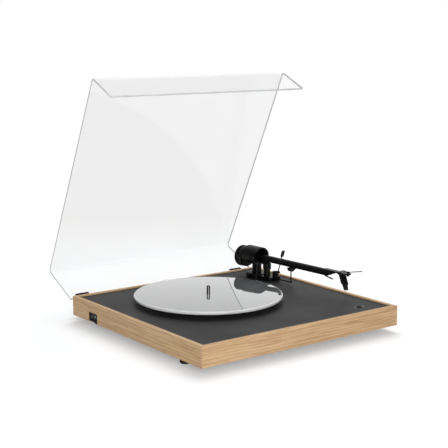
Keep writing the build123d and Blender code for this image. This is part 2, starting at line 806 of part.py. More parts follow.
with BuildPart() as hinge_leaves:
    for centre in hinge_centres:
        with BuildSketch(swing_plane(centre + hinge_width / 2)) as leaf:
            with Locations((leaf_face - leaf_thickness / 2, leaf_low + leaf_height / 2)):
                Rectangle(leaf_thickness, leaf_height)
        extrude(leaf.sketch, amount=hinge_width)
        with BuildSketch(swing_plane(centre + knuckle_width / 2)) as knuckle:
            Circle(hinge_knuckle_radius)
            with Locations((leaf_face / 2, 0)):
                Rectangle(leaf_face, 2 * hinge_knuckle_radius)
            Circle(hinge_pin_radius + run_gap, mode=Mode.SUBTRACT)
        extrude(knuckle.sketch, amount=knuckle_width)
write(hinge_leaves, "hinge_leaves")
with BuildPart() as hinge_pins:
    for centre in hinge_centres:
        with BuildSketch(fixed_plane(centre + hinge_width / 2)) as pin:
            Circle(hinge_pin_radius)
        extrude(pin.sketch, amount=hinge_width)
write(hinge_pins, "hinge_pins")

# Tonearm frame at rest: local x runs from the pivot to the head, local y outward, local z up
swing = math.radians(rest_angle)
arm = Plane((pivot_right, pivot_back, arm_height), x_dir=(math.sin(swing), -math.cos(swing), 0),
            z_dir=(0, 0, 1))


def across(reach, rise=0.0, side=0.0):
    """A plane square to the arm at a reach from the pivot; its normal runs to the head."""
    return Plane(arm.from_local_coords((reach, side, rise)), x_dir=arm.y_dir, z_dir=arm.x_dir)


def along_side(side):
    """A plane beside the arm's axis: local x to the head, local y up, normal inward."""
    return Plane(arm.from_local_coords((0, side, 0)), x_dir=arm.x_dir, z_dir=-arm.y_dir)


def arm_rod(radius, start, end, rise=0.0, side=0.0, mode=Mode.ADD):
    """A round rod along the arm."""
    with BuildSketch(across(start, rise, side)) as section:
        Circle(radius)
    extrude(section.sketch, amount=end - start, mode=mode)


# Arm base on the deck: collar, pillar, lift housing and the bar that carries the rest
collar_top = deck_top + collar_height
pillar_top = arm_height - yoke_floor_drop - move_gap
bar_top = arm_height - tube_radius - move_gap
lift_top = bar_top - lift_bar_thickness - lift_travel - lift_guide_gap
lift_point = arm.from_local_coords((lift_reach, 0, 0))
lift_at = (lift_point.X, lift_point.Y)
base_step_top = collar_top - arm_base_step
lever_rise = collar_top + lever_hub_radius + lever_above_base - arm_height
rest_point = arm.from_local_coords((rest_reach, 0, 0))
rest_at = (rest_point.X, rest_point.Y)
rest_bar_start = lever_reach - rest_bar_lap
rest_bar_z = deck_top + collar_height / 2
sleeve_radius = yaw_shaft_radius + sleeve_wall
with BuildPart() as arm_base:
    disc(collar_radius, deck_top, collar_top, pivot_at)
    with BuildSketch(Plane(arm.from_local_coords((0, 0, deck_top - arm_height)), x_dir=arm.x_dir,
                           z_dir=(0, 0, 1))):
        with Locations((lever_reach / 2, arm_base_shift)):
            RectangleRounded(lever_reach + arm_base_past_lever, arm_base_width, arm_base_round)
    extrude(amount=base_step_top - deck_top)
    disc(sleeve_radius, deck_top - 1, collar_top + 1, pivot_at, Mode.SUBTRACT)
    disc(lift_radius, deck_top - 1, collar_top + 1, lift_at, Mode.SUBTRACT)
    arm_rod(rest_bar_radius, rest_bar_start, rest_reach, rest_bar_z - arm_height, mode=Mode.SUBTRACT)
write(arm_base, "arm_base")
with BuildPart() as arm_pillar:
    disc(pillar_radius, collar_top, pillar_top, pivot_at)
    disc(sleeve_radius, deck_bottom, collar_top, pivot_at)
    disc(yaw_shaft_radius + run_gap, deck_bottom - 1, pillar_top + 1, pivot_at, Mode.SUBTRACT)
write(arm_pillar, "arm_pillar")
with BuildPart() as lift_cylinder:
    disc(lift_radius, deck_top, lift_top, lift_at)
    disc(piston_radius + run_gap, deck_top + lift_floor, lift_top + 1, lift_at, Mode.SUBTRACT)
write(lift_cylinder, "lift_cylinder")
lift_bar_low = bar_top - lift_bar_thickness
lift_cup_low = lift_top - lift_cup_lap
hood_swing = math.hypot(yoke_front, yoke_radius)
with BuildPart() as lift_bar:
    disc(lift_radius + move_gap + lift_cup_wall, lift_cup_low, lift_bar_low, lift_at)
    disc(lift_radius + move_gap, lift_cup_low - 1, lift_bar_low - lift_cup_roof, lift_at, Mode.SUBTRACT)
    # The hood's front corners swing past here, so the cup is open on that side
    disc(hood_swing + move_gap, lift_cup_low - 1, lift_bar_low, pivot_at, Mode.SUBTRACT)
    disc(piston_radius, deck_top + lift_floor + lift_travel + move_gap, lift_bar_low, lift_at)
    with BuildSketch(Plane.XY.offset(lift_bar_low)):
        with Locations(pivot_at):
            Circle(lift_reach + lift_bar_width / 2)
            Circle(lift_reach - lift_bar_width / 2, mode=Mode.SUBTRACT)
        with BuildLine():
            far = 3 * lift_reach
            edge_out = math.radians(rest_angle + lift_out_angle)
            edge_in = math.radians(rest_angle - lift_in_angle)
            Polyline(pivot_at,
                     (pivot_right + far * math.sin(edge_out), pivot_back - far * math.cos(edge_out)),
                     (pivot_right + far * math.sin(edge_in), pivot_back - far * math.cos(edge_in)),
                     close=True)
        make_face(mode=Mode.INTERSECT)
    extrude(amount=lift_bar_thickness)
write(lift_bar, "lift_bar")


def across_axle(side):
    """A plane across the cue lever's axle at a distance out from the arm."""
    return Plane(arm.from_local_coords((lever_reach, side, lever_rise)), x_dir=arm.x_dir, z_dir=arm.y_dir)


# Cue lever on its axle
hub_start = lever_offset - lever_hub_width / 2
lever_up = math.radians(lever_lean)
lever_dir = Vector(0, 0, 1) * math.cos(lever_up) + arm.x_dir * math.sin(lever_up)
lever_root = Plane(arm.from_local_coords((lever_reach, lever_offset, lever_rise)), x_dir=arm.y_dir,
                   z_dir=lever_dir)
tab_start = lever_length - lever_tab_length
with BuildPart() as cue_lever:
    with BuildSketch(across_axle(axle_inner)):
        Circle(axle_radius)
    extrude(amount=hub_start + lever_hub_width + axle_past_hub - axle_inner)
    with BuildSketch(across_axle(hub_start)):
        Circle(lever_hub_radius)
    extrude(amount=lever_hub_width)
    with BuildSketch(lever_root):
        Circle(lever_rod_radius)
    extrude(amount=tab_start + lever_tab_lap)
    with BuildSketch(lever_root.offset(tab_start)):
        RectangleRounded(lever_tab_width, lever_tab_thickness, lever_tab_round)
    extrude(amount=lever_tab_length)
write(cue_lever, "cue_lever")
bearing_end = hub_start - move_gap
with BuildPart() as lever_bearing:
    with BuildSketch(Plane(arm.from_local_coords((lever_reach, 0, base_step_top - arm_height)),
                           x_dir=arm.x_dir, z_dir=(0, 0, 1))):
        with Locations((0, (axle_inner + bearing_end) / 2)):
            Rectangle(lever_bearing_length, bearing_end - axle_inner)
    extrude(amount=lever_rise + arm_height + lever_bearing_above - base_step_top)
    with BuildSketch(across_axle(axle_inner - 1)):
        Circle(axle_radius + run_gap)
    extrude(amount=bearing_end - axle_inner + 2, mode=Mode.SUBTRACT)
write(lever_bearing, "lever_bearing")

# Arm rest: a bar out of the base, a post and a saddle that is open towards the platter
saddle_level = -tube_radius - move_gap
with BuildPart() as rest_bracket:
    arm_rod(rest_bar_radius, rest_bar_start, rest_reach + rest_bar_end, rest_bar_z - arm_height)
    disc(rest_post_radius, rest_bar_z, arm_height + saddle_level - rest_clip_depth, rest_at)
write(rest_bracket, "rest_bracket")
with BuildPart() as rest_clip:
    with BuildSketch(across(rest_reach - rest_clip_length / 2)):
        with BuildLine():
            inner_edge = -tube_radius
            lip_face = tube_radius + move_gap
            outer_edge = lip_face + rest_clip_lip
            foot_level = saddle_level - rest_clip_depth
            Polyline((inner_edge, saddle_level), (lip_face, saddle_level), (lip_face, rest_clip_lip_rise),
                     (outer_edge, rest_clip_lip_rise), (outer_edge, saddle_level - rest_clip_outer_depth),
                     (rest_clip_half_foot, foot_level), (-rest_clip_half_foot, foot_level),
                     (inner_edge, saddle_level - rest_clip_inner_depth), close=True)
        make_face()
    extrude(amount=rest_clip_length)
write(rest_clip, "rest_clip")

# Yoke: the hood that turns on the pillar and carries the arm on two pins
half_floor = math.sqrt(yoke_radius ** 2 - yoke_floor_drop ** 2)
yoke_floor = arm_height - yoke_floor_drop
shaft_top = yoke_floor + yoke_floor_thickness
with BuildPart() as bearing_yoke:
    with BuildSketch(across(-yoke_rear)):
        Circle(yoke_radius)
        Circle(yoke_radius - yoke_wall, mode=Mode.SUBTRACT)
        with Locations((0, -yoke_floor_drop - yoke_radius / 2)):
            Rectangle(2 * yoke_radius, yoke_radius, mode=Mode.SUBTRACT)
        with Locations((0, -yoke_floor_drop + yoke_floor_thickness / 2)):
            Rectangle(2 * half_floor, yoke_floor_thickness)
    extrude(amount=yoke_rear + yoke_front)
    with BuildSketch(Plane(arm.from_local_coords((0, -yoke_radius - 1, 0)), x_dir=arm.x_dir,
                           z_dir=arm.y_dir)):
        Circle(pivot_pin_radius)
    extrude(amount=2 * yoke_radius + 2, mode=Mode.SUBTRACT)
    disc(yaw_shaft_radius, yoke_floor - 1, shaft_top + 1, pivot_at, Mode.SUBTRACT)
write(bearing_yoke, "bearing_yoke")
with BuildPart() as yaw_shaft:
    disc(yaw_shaft_radius, shaft_top - yaw_shaft_length, shaft_top, pivot_at)
write(yaw_shaft, "yaw_shaft")
with BuildPart() as pivot_pins:
    for side in (-1, 1):
        with BuildSketch(Plane(arm.from_local_coords((0, side * yoke_radius, 0)), x_dir=arm.x_dir,
                               z_dir=-side * arm.y_dir)) as pin_end:
            Circle(pivot_pin_radius)
        extrude(pin_end.sketch, amount=yoke_radius - tube_radius + tube_wall)
write(pivot_pins, "pivot_pins")

# Arm tube, cut on the slant under the head, with a stub behind for the counterweight
tube_end = effective_length - tube_before_stylus
plate_top = tube_radius
plate_bottom = plate_top - headshell_thickness
head_start = tube_end - tube_slant - tube_seat
spur_back = tube_end - tube_spur_start
spur_tip = spur_back + tube_spur_root + tube_spur_reach
spur_low = -tube_radius - tube_spur_thickness - tube_spur_drop
with BuildPart() as arm_tube:
    arm_rod(tube_radius, -tube_tail, tube_end)
    arm_rod(tube_radius - tube_wall, -tube_tail + tube_back_wall, tube_end + 1, mode=Mode.SUBTRACT)
    with BuildSketch(along_side(tube_radius + 1)) as cut:
        with BuildLine():
            Polyline((tube_end - tube_slant, -tube_radius - 1), (tube_end + 1, plate_bottom),
                     (tube_end + 1, -tube_radius - 1), close=True)
        make_face()
    extrude(cut.sketch, amount=2 * tube_radius + 2, mode=Mode.SUBTRACT)
    with BuildSketch(across(head_start)) as seat:
        with Locations((0, plate_bottom + tube_radius)):
            Rectangle(4 * tube_radius, 2 * tube_radius)
    extrude(seat.sketch, amount=tube_end + 1 - head_start, mode=Mode.SUBTRACT)
    with BuildSketch(Plane(arm.from_local_coords((0, -tube_radius - 1, 0)), x_dir=arm.x_dir,
                           z_dir=arm.y_dir)) as pin_hole:
        Circle(pivot_pin_radius + run_gap)
    extrude(pin_hole.sketch, amount=2 * tube_radius + 2, mode=Mode.SUBTRACT)
    with BuildSketch(along_side(tube_spur_width / 2)) as spur:
        with BuildLine():
            Polyline((spur_back, -tube_radius + tube_wall / 2), (spur_back + tube_spur_root, -tube_radius),
                     (spur_tip, spur_low + tube_spur_thickness), (spur_tip, spur_low),
                     (spur_back + tube_spur_root, -tube_radius - tube_spur_thickness), close=True)
        make_face()
    extrude(spur.sketch, amount=tube_spur_width)
write(arm_tube, "arm_tube")
with BuildPart() as tail_stub:
    arm_rod(stub_radius, -stub_length, -tube_tail)
write(tail_stub, "tail_stub")

# Headshell: a neck in the tube's seat, and a plate turned to the offset angle of the cartridge
turn_in = math.radians(cartridge_angle)
cart_x = arm.x_dir * math.cos(turn_in) - arm.y_dir * math.sin(turn_in)
stylus_at = arm.from_local_coords((effective_length, 0, 0))
cart = Plane((stylus_at.X, stylus_at.Y, arm_height), x_dir=cart_x, z_dir=(0, 0, 1))
cartridge_screw_back = cartridge_flange_back - cartridge_flange_length / 2
cartridge_screw_places = [(-cartridge_screw_back, side * cartridge_screw_spacing / 2, 0)
                          for side in (-1, 1)]
clamp_point = cart.from_local_coords((-clamp_back, clamp_side, 0))
clamp_at = (clamp_point.X, clamp_point.Y)
half_neck = math.sqrt(tube_radius ** 2 - plate_bottom ** 2)
plate_reach = headshell_front + headshell_back
neck_end = effective_length - headshell_back / 2
with BuildPart() as headshell:
    with BuildSketch(Plane(cart.from_local_coords((0, 0, plate_bottom)), x_dir=cart_x, z_dir=(0, 0, 1))):
        with Locations(((headshell_front - headshell_back) / 2, 0)):
            RectangleRounded(plate_reach, headshell_width, headshell_corner)
    extrude(amount=headshell_thickness)
    with BuildSketch(Plane(arm.from_local_coords((0, 0, plate_bottom)), x_dir=arm.x_dir, z_dir=(0, 0, 1))):
        with Locations(((head_start + neck_end) / 2, 0)):
            Rectangle(neck_end - head_start, 2 * half_neck)
    extrude(amount=headshell_thickness)
    for place in cartridge_screw_places:
        at = cart.from_local_coords(place)
        disc(cartridge_screw_radius, arm_height + plate_bottom - 1, arm_height + plate_top + 1,
             (at.X, at.Y), Mode.SUBTRACT)
    disc(clamp_shank, arm_height + plate_bottom - 1, arm_height + plate_top + 1, clamp_at, Mode.SUBTRACT)
write(headshell, "headshell")

# Finger lift: a rod held on the plate by a clamp screw with a nut under the plate
sweep = math.radians(finger_sweep)
finger_dir = cart.y_dir * math.cos(sweep) + cart.x_dir * math.sin(sweep)
with BuildPart() as finger_lift:
    disc(clamp_radius, arm_height + plate_top, arm_height + plate_top + clamp_height, clamp_at)
    disc(clamp_shank, arm_height + plate_bottom, arm_height + plate_top, clamp_at)
    disc(nut_radius, arm_height + plate_bottom - nut_height, arm_height + plate_bottom, clamp_at)
    rod_root = Vector(clamp_point.X, clamp_point.Y, arm_height + plate_top + clamp_height / 2)
    with BuildSketch(Plane(rod_root, x_dir=(0, 0, 1), z_dir=finger_dir)) as rod:
        Circle(finger_radius)
    extrude(rod.sketch, amount=finger_length)
write(finger_lift, "finger_lift")

# Cartridge: a flange under the plate and a raked body, with the stylus insert at its lower end
cart_low = plate_bottom - cartridge_height
stylus_tip = record_thickness - arm_height
flange_low = plate_bottom - cartridge_flange_thickness
body_back = -cartridge_flange_back
low_back = body_back + cartridge_rake
cart_side = Plane(cart.from_local_coords((0, cartridge_width / 2, 0)), x_dir=cart.x_dir, z_dir=-cart.y_dir)
with BuildPart() as cartridge:
    with BuildSketch(cart_side):
        with BuildLine():
            Polyline((body_back, plate_bottom), (body_back + cartridge_depth, plate_bottom),
                     (body_back + cartridge_depth, flange_low), (low_back + cartridge_depth, cart_low),
                     (low_back, cart_low), (body_back, flange_low), close=True)
        make_face()
    extrude(amount=cartridge_width)
    with BuildSketch(Plane(cart.from_local_coords((0, 0, flange_low)), x_dir=cart_x, z_dir=(0, 0, 1))):
        with Locations((body_back + cartridge_flange_length / 2, 0)):
            RectangleRounded(cartridge_flange_length, headshell_width, cartridge_edge_round)
    extrude(amount=cartridge_flange_thickness)
write(cartridge, "cartridge")
stylus_side = Plane(cart.from_local_coords((0, stylus_width / 2, 0)), x_dir=cart.x_dir, z_dir=-cart.y_dir)
with BuildPart() as stylus_insert:
    with BuildSketch(stylus_side):
        with BuildLine():
            Polyline((low_back, cart_low), (low_back + cartridge_depth, cart_low),
                     (stylus_tip_front, stylus_tip + stylus_front_rise), (stylus_tip_front, stylus_tip),
                     (-stylus_tip_back, stylus_tip), close=True)
        make_face()
    extrude(amount=stylus_width)
write(stylus_insert, "stylus_insert")
head_plane = Plane((stylus_at.X, stylus_at.Y, arm_height + plate_top), x_dir=cart_x, z_dir=(0, 0, 1))
screw(2 * cartridge_screw_radius, cartridge_screw_head, cartridge_screw_radius, headshell_thickness,
      cartridge_screw_places, head_plane, "cartridge_screws")

# Counterweight hung low on the stub, with a gripped ring at its rear
weight_front = -weight_start
weight_rear = -weight_start - weight_length
with BuildPart() as counterweight:
    arm_rod(weight_radius, weight_rear, weight_front, -weight_drop)
    weight_rims = counterweight.edges().filter_by(GeomType.CIRCLE)
    fillet(weight_rims, weight_edge_round)
    with BuildSketch(across(weight_rear + weight_ring_length, -weight_drop)) as ring_groove:
        Circle(weight_radius + 1)
        Circle(weight_radius - weight_groove_depth, mode=Mode.SUBTRACT)
    extrude(ring_groove.sketch, amount=weight_groove_width, mode=Mode.SUBTRACT)
    arm_rod(weight_dish_radius, weight_rear - 1, weight_rear + weight_dish_depth, -weight_drop,
            mode=Mode.SUBTRACT)
    arm_rod(stub_radius + run_gap, weight_rear - 1, weight_front + 1, mode=Mode.SUBTRACT)
write(counterweight, "counterweight")
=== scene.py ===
# %% [markdown]
# # A turntable with a glass platter and a clear lid
#
# This lesson dresses a finished CAD model of a belt-drive turntable. The CAD pieces keep their
# shapes and places. Blender adds what a solid model lacks: oak with grain, a grained dark deck,
# glass that mirrors the room, clear acrylic, satin black metal, and the small parts that make
# the tonearm look like a working one. All lengths are metres, in the frame of the CAD model:
# the origin is on the spindle at the top of the platter, +X points to the tonearm, +Z up.

# %% Load the fixed frame
import json
import math

import bmesh
import bpy
from mathutils import Matrix, Vector


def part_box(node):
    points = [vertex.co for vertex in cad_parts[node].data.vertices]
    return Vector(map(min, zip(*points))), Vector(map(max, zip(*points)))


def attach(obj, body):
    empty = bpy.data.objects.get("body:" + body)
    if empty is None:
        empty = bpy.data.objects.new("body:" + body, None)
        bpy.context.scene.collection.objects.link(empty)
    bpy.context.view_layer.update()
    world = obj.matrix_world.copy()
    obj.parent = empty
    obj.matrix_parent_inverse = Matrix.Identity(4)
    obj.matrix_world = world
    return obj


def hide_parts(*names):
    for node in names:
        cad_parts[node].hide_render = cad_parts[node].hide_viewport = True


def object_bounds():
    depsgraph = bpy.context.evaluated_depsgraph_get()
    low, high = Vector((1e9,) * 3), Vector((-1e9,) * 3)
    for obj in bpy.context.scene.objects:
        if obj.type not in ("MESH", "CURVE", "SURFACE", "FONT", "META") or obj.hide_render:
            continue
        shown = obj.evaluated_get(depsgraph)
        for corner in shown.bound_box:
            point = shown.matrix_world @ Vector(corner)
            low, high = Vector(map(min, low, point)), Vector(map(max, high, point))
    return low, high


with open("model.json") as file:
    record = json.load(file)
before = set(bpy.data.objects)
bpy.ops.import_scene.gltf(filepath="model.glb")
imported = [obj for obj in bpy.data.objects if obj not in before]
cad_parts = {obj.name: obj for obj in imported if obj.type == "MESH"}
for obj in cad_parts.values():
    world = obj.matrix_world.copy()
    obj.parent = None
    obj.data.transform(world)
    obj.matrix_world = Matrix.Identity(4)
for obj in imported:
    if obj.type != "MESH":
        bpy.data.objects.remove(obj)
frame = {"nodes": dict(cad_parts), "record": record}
nodes = frame["nodes"]
cad_low, cad_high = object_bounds()
print("CAD box", [round(v, 4) for v in cad_low], [round(v, 4) for v in cad_high])

# %% [markdown]
# ## The camera
#
# The picture is taken from the front left, a little above the deck, with a long lens, so that
# the plinth's edges converge only slightly. A camera placed from a location and a point that it
# looks at is easy to read and to change, so the rotation is worked out from those two points.

# %% Camera
scene = bpy.context.scene
camera_place = Vector((-1.2515, -1.7293, 0.5213))
camera_target = Vector((0.0285, -0.0144, 0.1404))
camera_data = bpy.data.cameras.new("camera")
camera_data.lens = 87.5
camera_data.sensor_width = 36.0
camera_data.clip_start = 0.05
camera_data.clip_end = 50.0
camera = bpy.data.objects.new("camera", camera_data)
camera.location = camera_place
camera.rotation_mode = "QUATERNION"
camera.rotation_quaternion = (camera_target - camera_place).to_track_quat("-Z", "Y")
scene.collection.objects.link(camera)
scene.camera = camera
print("camera", round((camera_target - camera_place).length, 3), "m from its target")

# %% [markdown]
# ## Helpers for node trees
#
# Every finish here is a small tree of nodes. A few helpers that add one node, set its numbers and
# link its sockets keep the finishes short, so that the cells below read as recipes.


# %% Node helpers
def feed(tree, value, socket):
    """Links a socket to a socket, or sets a number or colour on it."""
    if isinstance(value, bpy.types.NodeSocket):
        tree.links.new(value, socket)
    else:
        socket.default_value = value


def math_node(tree, operation, first, second, third=0.0):
    """A math node on two or three sockets or numbers."""
    node = tree.nodes.new("ShaderNodeMath")
    node.operation = operation
    for place, value in enumerate((first, second, third)):
        feed(tree, value, node.inputs[place])
    return node.outputs[0]


def noise_node(tree, vector, scale, detail=3.0, rough=0.55):
    """A noise texture on a vector."""
    node = tree.nodes.new("ShaderNodeTexNoise")
    feed(tree, vector, node.inputs["Vector"])
    feed(tree, scale, node.inputs["Scale"])
    node.inputs["Detail"].default_value = detail
    node.inputs["Roughness"].default_value = rough
    return node.outputs["Fac"]


def range_node(tree, value, low, high, new_low, new_high):
    """Maps a value from one range to another."""
    node = tree.nodes.new("ShaderNodeMapRange")
    feed(tree, value, node.inputs["Value"])
    feed(tree, low, node.inputs["From Min"])
    feed(tree, high, node.inputs["From Max"])
    feed(tree, new_low, node.inputs["To Min"])
    feed(tree, new_high, node.inputs["To Max"])
    return node.outputs["Result"]


def mix_colours(tree, share, first, second):
    """A mix of two colours."""
    node = tree.nodes.new("ShaderNodeMix")
    node.data_type = "RGBA"
    feed(tree, share, node.inputs["Factor"])
    feed(tree, first, node.inputs[6])
    feed(tree, second, node.inputs[7])
    return node.outputs[2]


def seen_rays(tree, *kinds):
    """One where a ray is of any of the given kinds."""
    rays = tree.nodes.new("ShaderNodeLightPath")
    share = rays.outputs[kinds[0]]
    for kind in kinds[1:]:
        share = math_node(tree, "MAXIMUM", share, rays.outputs[kind])
    return share


def mix_shaders(tree, share, first, second):
    """A mix of two shaders."""
    node = tree.nodes.new("ShaderNodeMixShader")
    feed(tree, share, node.inputs[0])
    tree.links.new(first, node.inputs[1])
    tree.links.new(second, node.inputs[2])
    return node.outputs[0]


print("node helpers ready")

# %% [markdown]
# ## The room
#
# The object stands on a white sweep in front of a white wall, and the rest of the studio is dark.
# Camera and transmission rays see white all round. Glossy rays see the wall only where it is,
# behind the object, so the platter mirrors white while the black metal stays black. All other
# rays get a soft even light, because real walls scatter it.

# %% World
scene.view_settings.view_transform = "Standard"
wall_direction = (0.598, 0.801, 0.0)
room_glow = 0.07
soft_strength = 0.42
world = bpy.data.worlds.new("studio")
scene.world = world
world.use_nodes = True
sky = world.node_tree
sky.nodes.clear()
towards_wall = sky.nodes.new("ShaderNodeVectorMath")
towards_wall.operation = "DOT_PRODUCT"
feed(sky, sky.nodes.new("ShaderNodeTexCoord").outputs["Generated"], towards_wall.inputs[0])
towards_wall.inputs[1].default_value = wall_direction
soft_light = sky.nodes.new("ShaderNodeBackground")
soft_light.inputs["Color"].default_value = (0.92, 0.96, 1.0, 1.0)
soft_light.inputs["Strength"].default_value = soft_strength
mirrored = sky.nodes.new("ShaderNodeBackground")
mirrored.inputs["Color"].default_value = (1.0, 1.0, 1.0, 1.0)
wall_share = range_node(sky, towards_wall.outputs["Value"], 0.3, 0.7, room_glow, 1.0)
feed(sky, wall_share, mirrored.inputs["Strength"])
white_wall = sky.nodes.new("ShaderNodeBackground")
white_wall.inputs["Color"].default_value = (1.0, 1.0, 1.0, 1.0)
with_mirrors = mix_shaders(sky, seen_rays(sky, "Is Glossy Ray"), soft_light.outputs[0], mirrored.outputs[0])
with_wall = mix_shaders(sky, seen_rays(sky, "Is Camera Ray", "Is Transmission Ray"), with_mirrors,
                        white_wall.outputs[0])
sky.links.new(with_wall, sky.nodes.new("ShaderNodeOutputWorld").inputs["Surface"])
print("world", world.name)

# %% [markdown]
# ## The floor
#
# The floor is white paper. It needs two looks: near the object it takes the soft shadow, and far
# away it has to be as white as the wall, so that no horizon shows. A glow that grows with the
# distance from the object does that. The paper's own light still lies under it near the plinth.

# %% Floor
floor_half = 8.0
floor_near_glow = 0.32
floor_paper = 0.67
shadow_radii = (0.55, 1.3)
floor_mesh = bmesh.new()
bmesh.ops.create_grid(floor_mesh, x_segments=1, y_segments=1, size=floor_half)
bmesh.ops.translate(floor_mesh, verts=floor_mesh.verts, vec=(0, 0, cad_low.z))
floor_data = bpy.data.meshes.new("floor")
floor_mesh.to_mesh(floor_data)
floor_mesh.free()
floor = bpy.data.objects.new("floor", floor_data)
scene.collection.objects.link(floor)
floor_look = bpy.data.materials.new("white_paper")
floor_look.use_nodes = True
tree = floor_look.node_tree
tree.nodes.clear()
distance = tree.nodes.new("ShaderNodeVectorMath")
distance.operation = "LENGTH"
feed(tree, tree.nodes.new("ShaderNodeTexCoord").outputs["Object"], distance.inputs[0])
far = range_node(tree, distance.outputs["Value"], *shadow_radii, 0.0, 1.0)
plain = tree.nodes.new("ShaderNodeBsdfDiffuse")
plain.inputs["Color"].default_value = (0.8, 0.8, 0.8, 1.0)
paper = tree.nodes.new("ShaderNodeBsdfDiffuse")
feed(tree, mix_colours(tree, far, (floor_paper,) * 3 + (1,), (0, 0, 0, 1)), paper.inputs["Color"])
glow = tree.nodes.new("ShaderNodeEmission")
feed(tree, range_node(tree, far, 0.0, 1.0, floor_near_glow, 1.0), glow.inputs["Strength"])
lit = tree.nodes.new("ShaderNodeAddShader")
tree.links.new(paper.outputs[0], lit.inputs[0])
tree.links.new(glow.outputs[0], lit.inputs[1])
shown = seen_rays(tree, "Is Camera Ray", "Is Transmission Ray")
surface = mix_shaders(tree, shown, plain.outputs[0], lit.outputs[0])
tree.links.new(surface, tree.nodes.new("ShaderNodeOutputMaterial").inputs["Surface"])
floor_data.materials.append(floor_look)
print("floor at", round(cad_low.z, 4))

# %% [markdown]
# ## The lamps
#
# The front rail is the brightest side and the left rail is a little darker, so the main lamp
# stands low in front of the object, to the left. The floor and the deck get their light from a
# large lamp overhead, to the right and behind, so that a soft shadow lies along the left and
# the front of the plinth. That lamp is kept out of mirror images: the lid's two folded strips
# would show it as white squares.


# %% Lamps
def softbox(name, place, target, size, power, tint):
    """A square area lamp that faces a point."""
    lamp = bpy.data.lights.new(name, "AREA")
    lamp.shape = "SQUARE"
    lamp.size = size
    lamp.energy = power
    lamp.color = tint
    thing = bpy.data.objects.new(name, lamp)
    thing.location = place
    thing.rotation_mode = "QUATERNION"
    thing.rotation_quaternion = (Vector(target) - Vector(place)).to_track_quat("-Z", "Y")
    scene.collection.objects.link(thing)
    print("lamp", name, power, "W")
    return thing


softbox("key_box", (-1.15, -2.05, 0.55), (0, 0, 0), 1.2, 34, (1.0, 0.99, 0.98))
overhead = softbox("top_box", (0.9, 0.8, 2.3), (0, 0, 0), 1.9, 52, (1.0, 1.0, 1.0))
overhead.visible_glossy = False

# %% [markdown]
# ## Satin finishes as one node group
#
# Plastic, paint and turned metal share one effect: their tone and gloss drift a little over the
# surface, and a very fine grain breaks up the highlights. That effect is a node group with named
# sockets, built once. Every finish places it and sets its own two tones, two gloss limits and
# the sizes of the drift and of the grain.


# %% Group builder
def new_group(name, inputs, outputs):
    """An empty shader node group with named sockets."""
    group = bpy.data.node_groups.new(name, "ShaderNodeTree")
    for label, kind in inputs:
        group.interface.new_socket(label, in_out="INPUT", socket_type="NodeSocket" + kind)
    for label, kind in outputs:
        group.interface.new_socket(label, in_out="OUTPUT", socket_type="NodeSocket" + kind)
    return group, group.nodes.new("NodeGroupInput").outputs, group.nodes.new("NodeGroupOutput").inputs


surface_outputs = [("Color", "Color"), ("Roughness", "Float"), ("Height", "Float")]
satin, satin_in, satin_out = new_group(
    "satin",
    [("Dark", "Color"), ("Light", "Color"), ("Rough Low", "Float"), ("Rough High", "Float"),
     ("Drift Scale", "Float"), ("Grain Scale", "Float")],
    surface_outputs)
where = satin.nodes.new("ShaderNodeTexCoord").outputs["Object"]
drift = noise_node(satin, where, satin_in["Drift Scale"], 4.0)
grain = noise_node(satin, where, satin_in["Grain Scale"], 2.0)
tone_share = range_node(satin, drift, 0.3, 0.7, 0.0, 1.0)
feed(satin, mix_colours(satin, tone_share, satin_in["Dark"], satin_in["Light"]), satin_out["Color"])
feed(satin, range_node(satin, drift, 0.25, 0.75, satin_in["Rough Low"], satin_in["Rough High"]),
     satin_out["Roughness"])
feed(satin, grain, satin_out["Height"])
print("group", satin.name, "with", len(satin.nodes), "nodes")


# %% Satin materials
def new_material(name):
    """A material with a Principled shader and an output."""
    look = bpy.data.materials.new(name)
    look.use_nodes = True
    look.node_tree.nodes.clear()
    shader = look.node_tree.nodes.new("ShaderNodeBsdfPrincipled")
    end = look.node_tree.nodes.new("ShaderNodeOutputMaterial")
    look.node_tree.links.new(shader.outputs[0], end.inputs["Surface"])
    return look, look.node_tree, shader.inputs, end.inputs["Surface"]


def add_bump(tree, sockets, height, distance, strength):
    """A bump from a height onto the shader's normal."""
    bump = tree.nodes.new("ShaderNodeBump")
    bump.inputs["Strength"].default_value = strength
    bump.inputs["Distance"].default_value = distance
    feed(tree, height, bump.inputs["Height"])
    feed(tree, bump.outputs[0], sockets["Normal"])


looks = {}


def satin_look(name, dark, light, rough, drift=60.0, grain=2500.0, bump=0.1, metallic=0.0, mirror=0.5):
    """A satin finish from the group, kept under its name."""
    look, tree, sockets, _ = new_material(name)
    cover = tree.nodes.new("ShaderNodeGroup")
    cover.node_tree = satin
    cover.inputs["Dark"].default_value = (*dark, 1)
    cover.inputs["Light"].default_value = (*light, 1)
    cover.inputs["Rough Low"].default_value = rough[0]
    cover.inputs["Rough High"].default_value = rough[1]
    cover.inputs["Drift Scale"].default_value = drift
    cover.inputs["Grain Scale"].default_value = grain
    sockets["Metallic"].default_value = metallic
    sockets["Specular IOR Level"].default_value = mirror
    feed(tree, cover.outputs["Color"], sockets["Base Color"])
    feed(tree, cover.outputs["Roughness"], sockets["Roughness"])
    add_bump(tree, sockets, cover.outputs["Height"], 0.0001, bump)
    looks[name] = look


def grey(value):
    """A neutral colour."""
    return (value, value, value)


# %% [markdown]
# ## Black parts
#
# The tonearm, the hinges and the switch are black, but not the same black: anodised tube, painted
# weight, moulded plastic and rubber differ in gloss and grain. Their tones stay just above zero,
# and a weak gloss lets their edges catch the lamps.

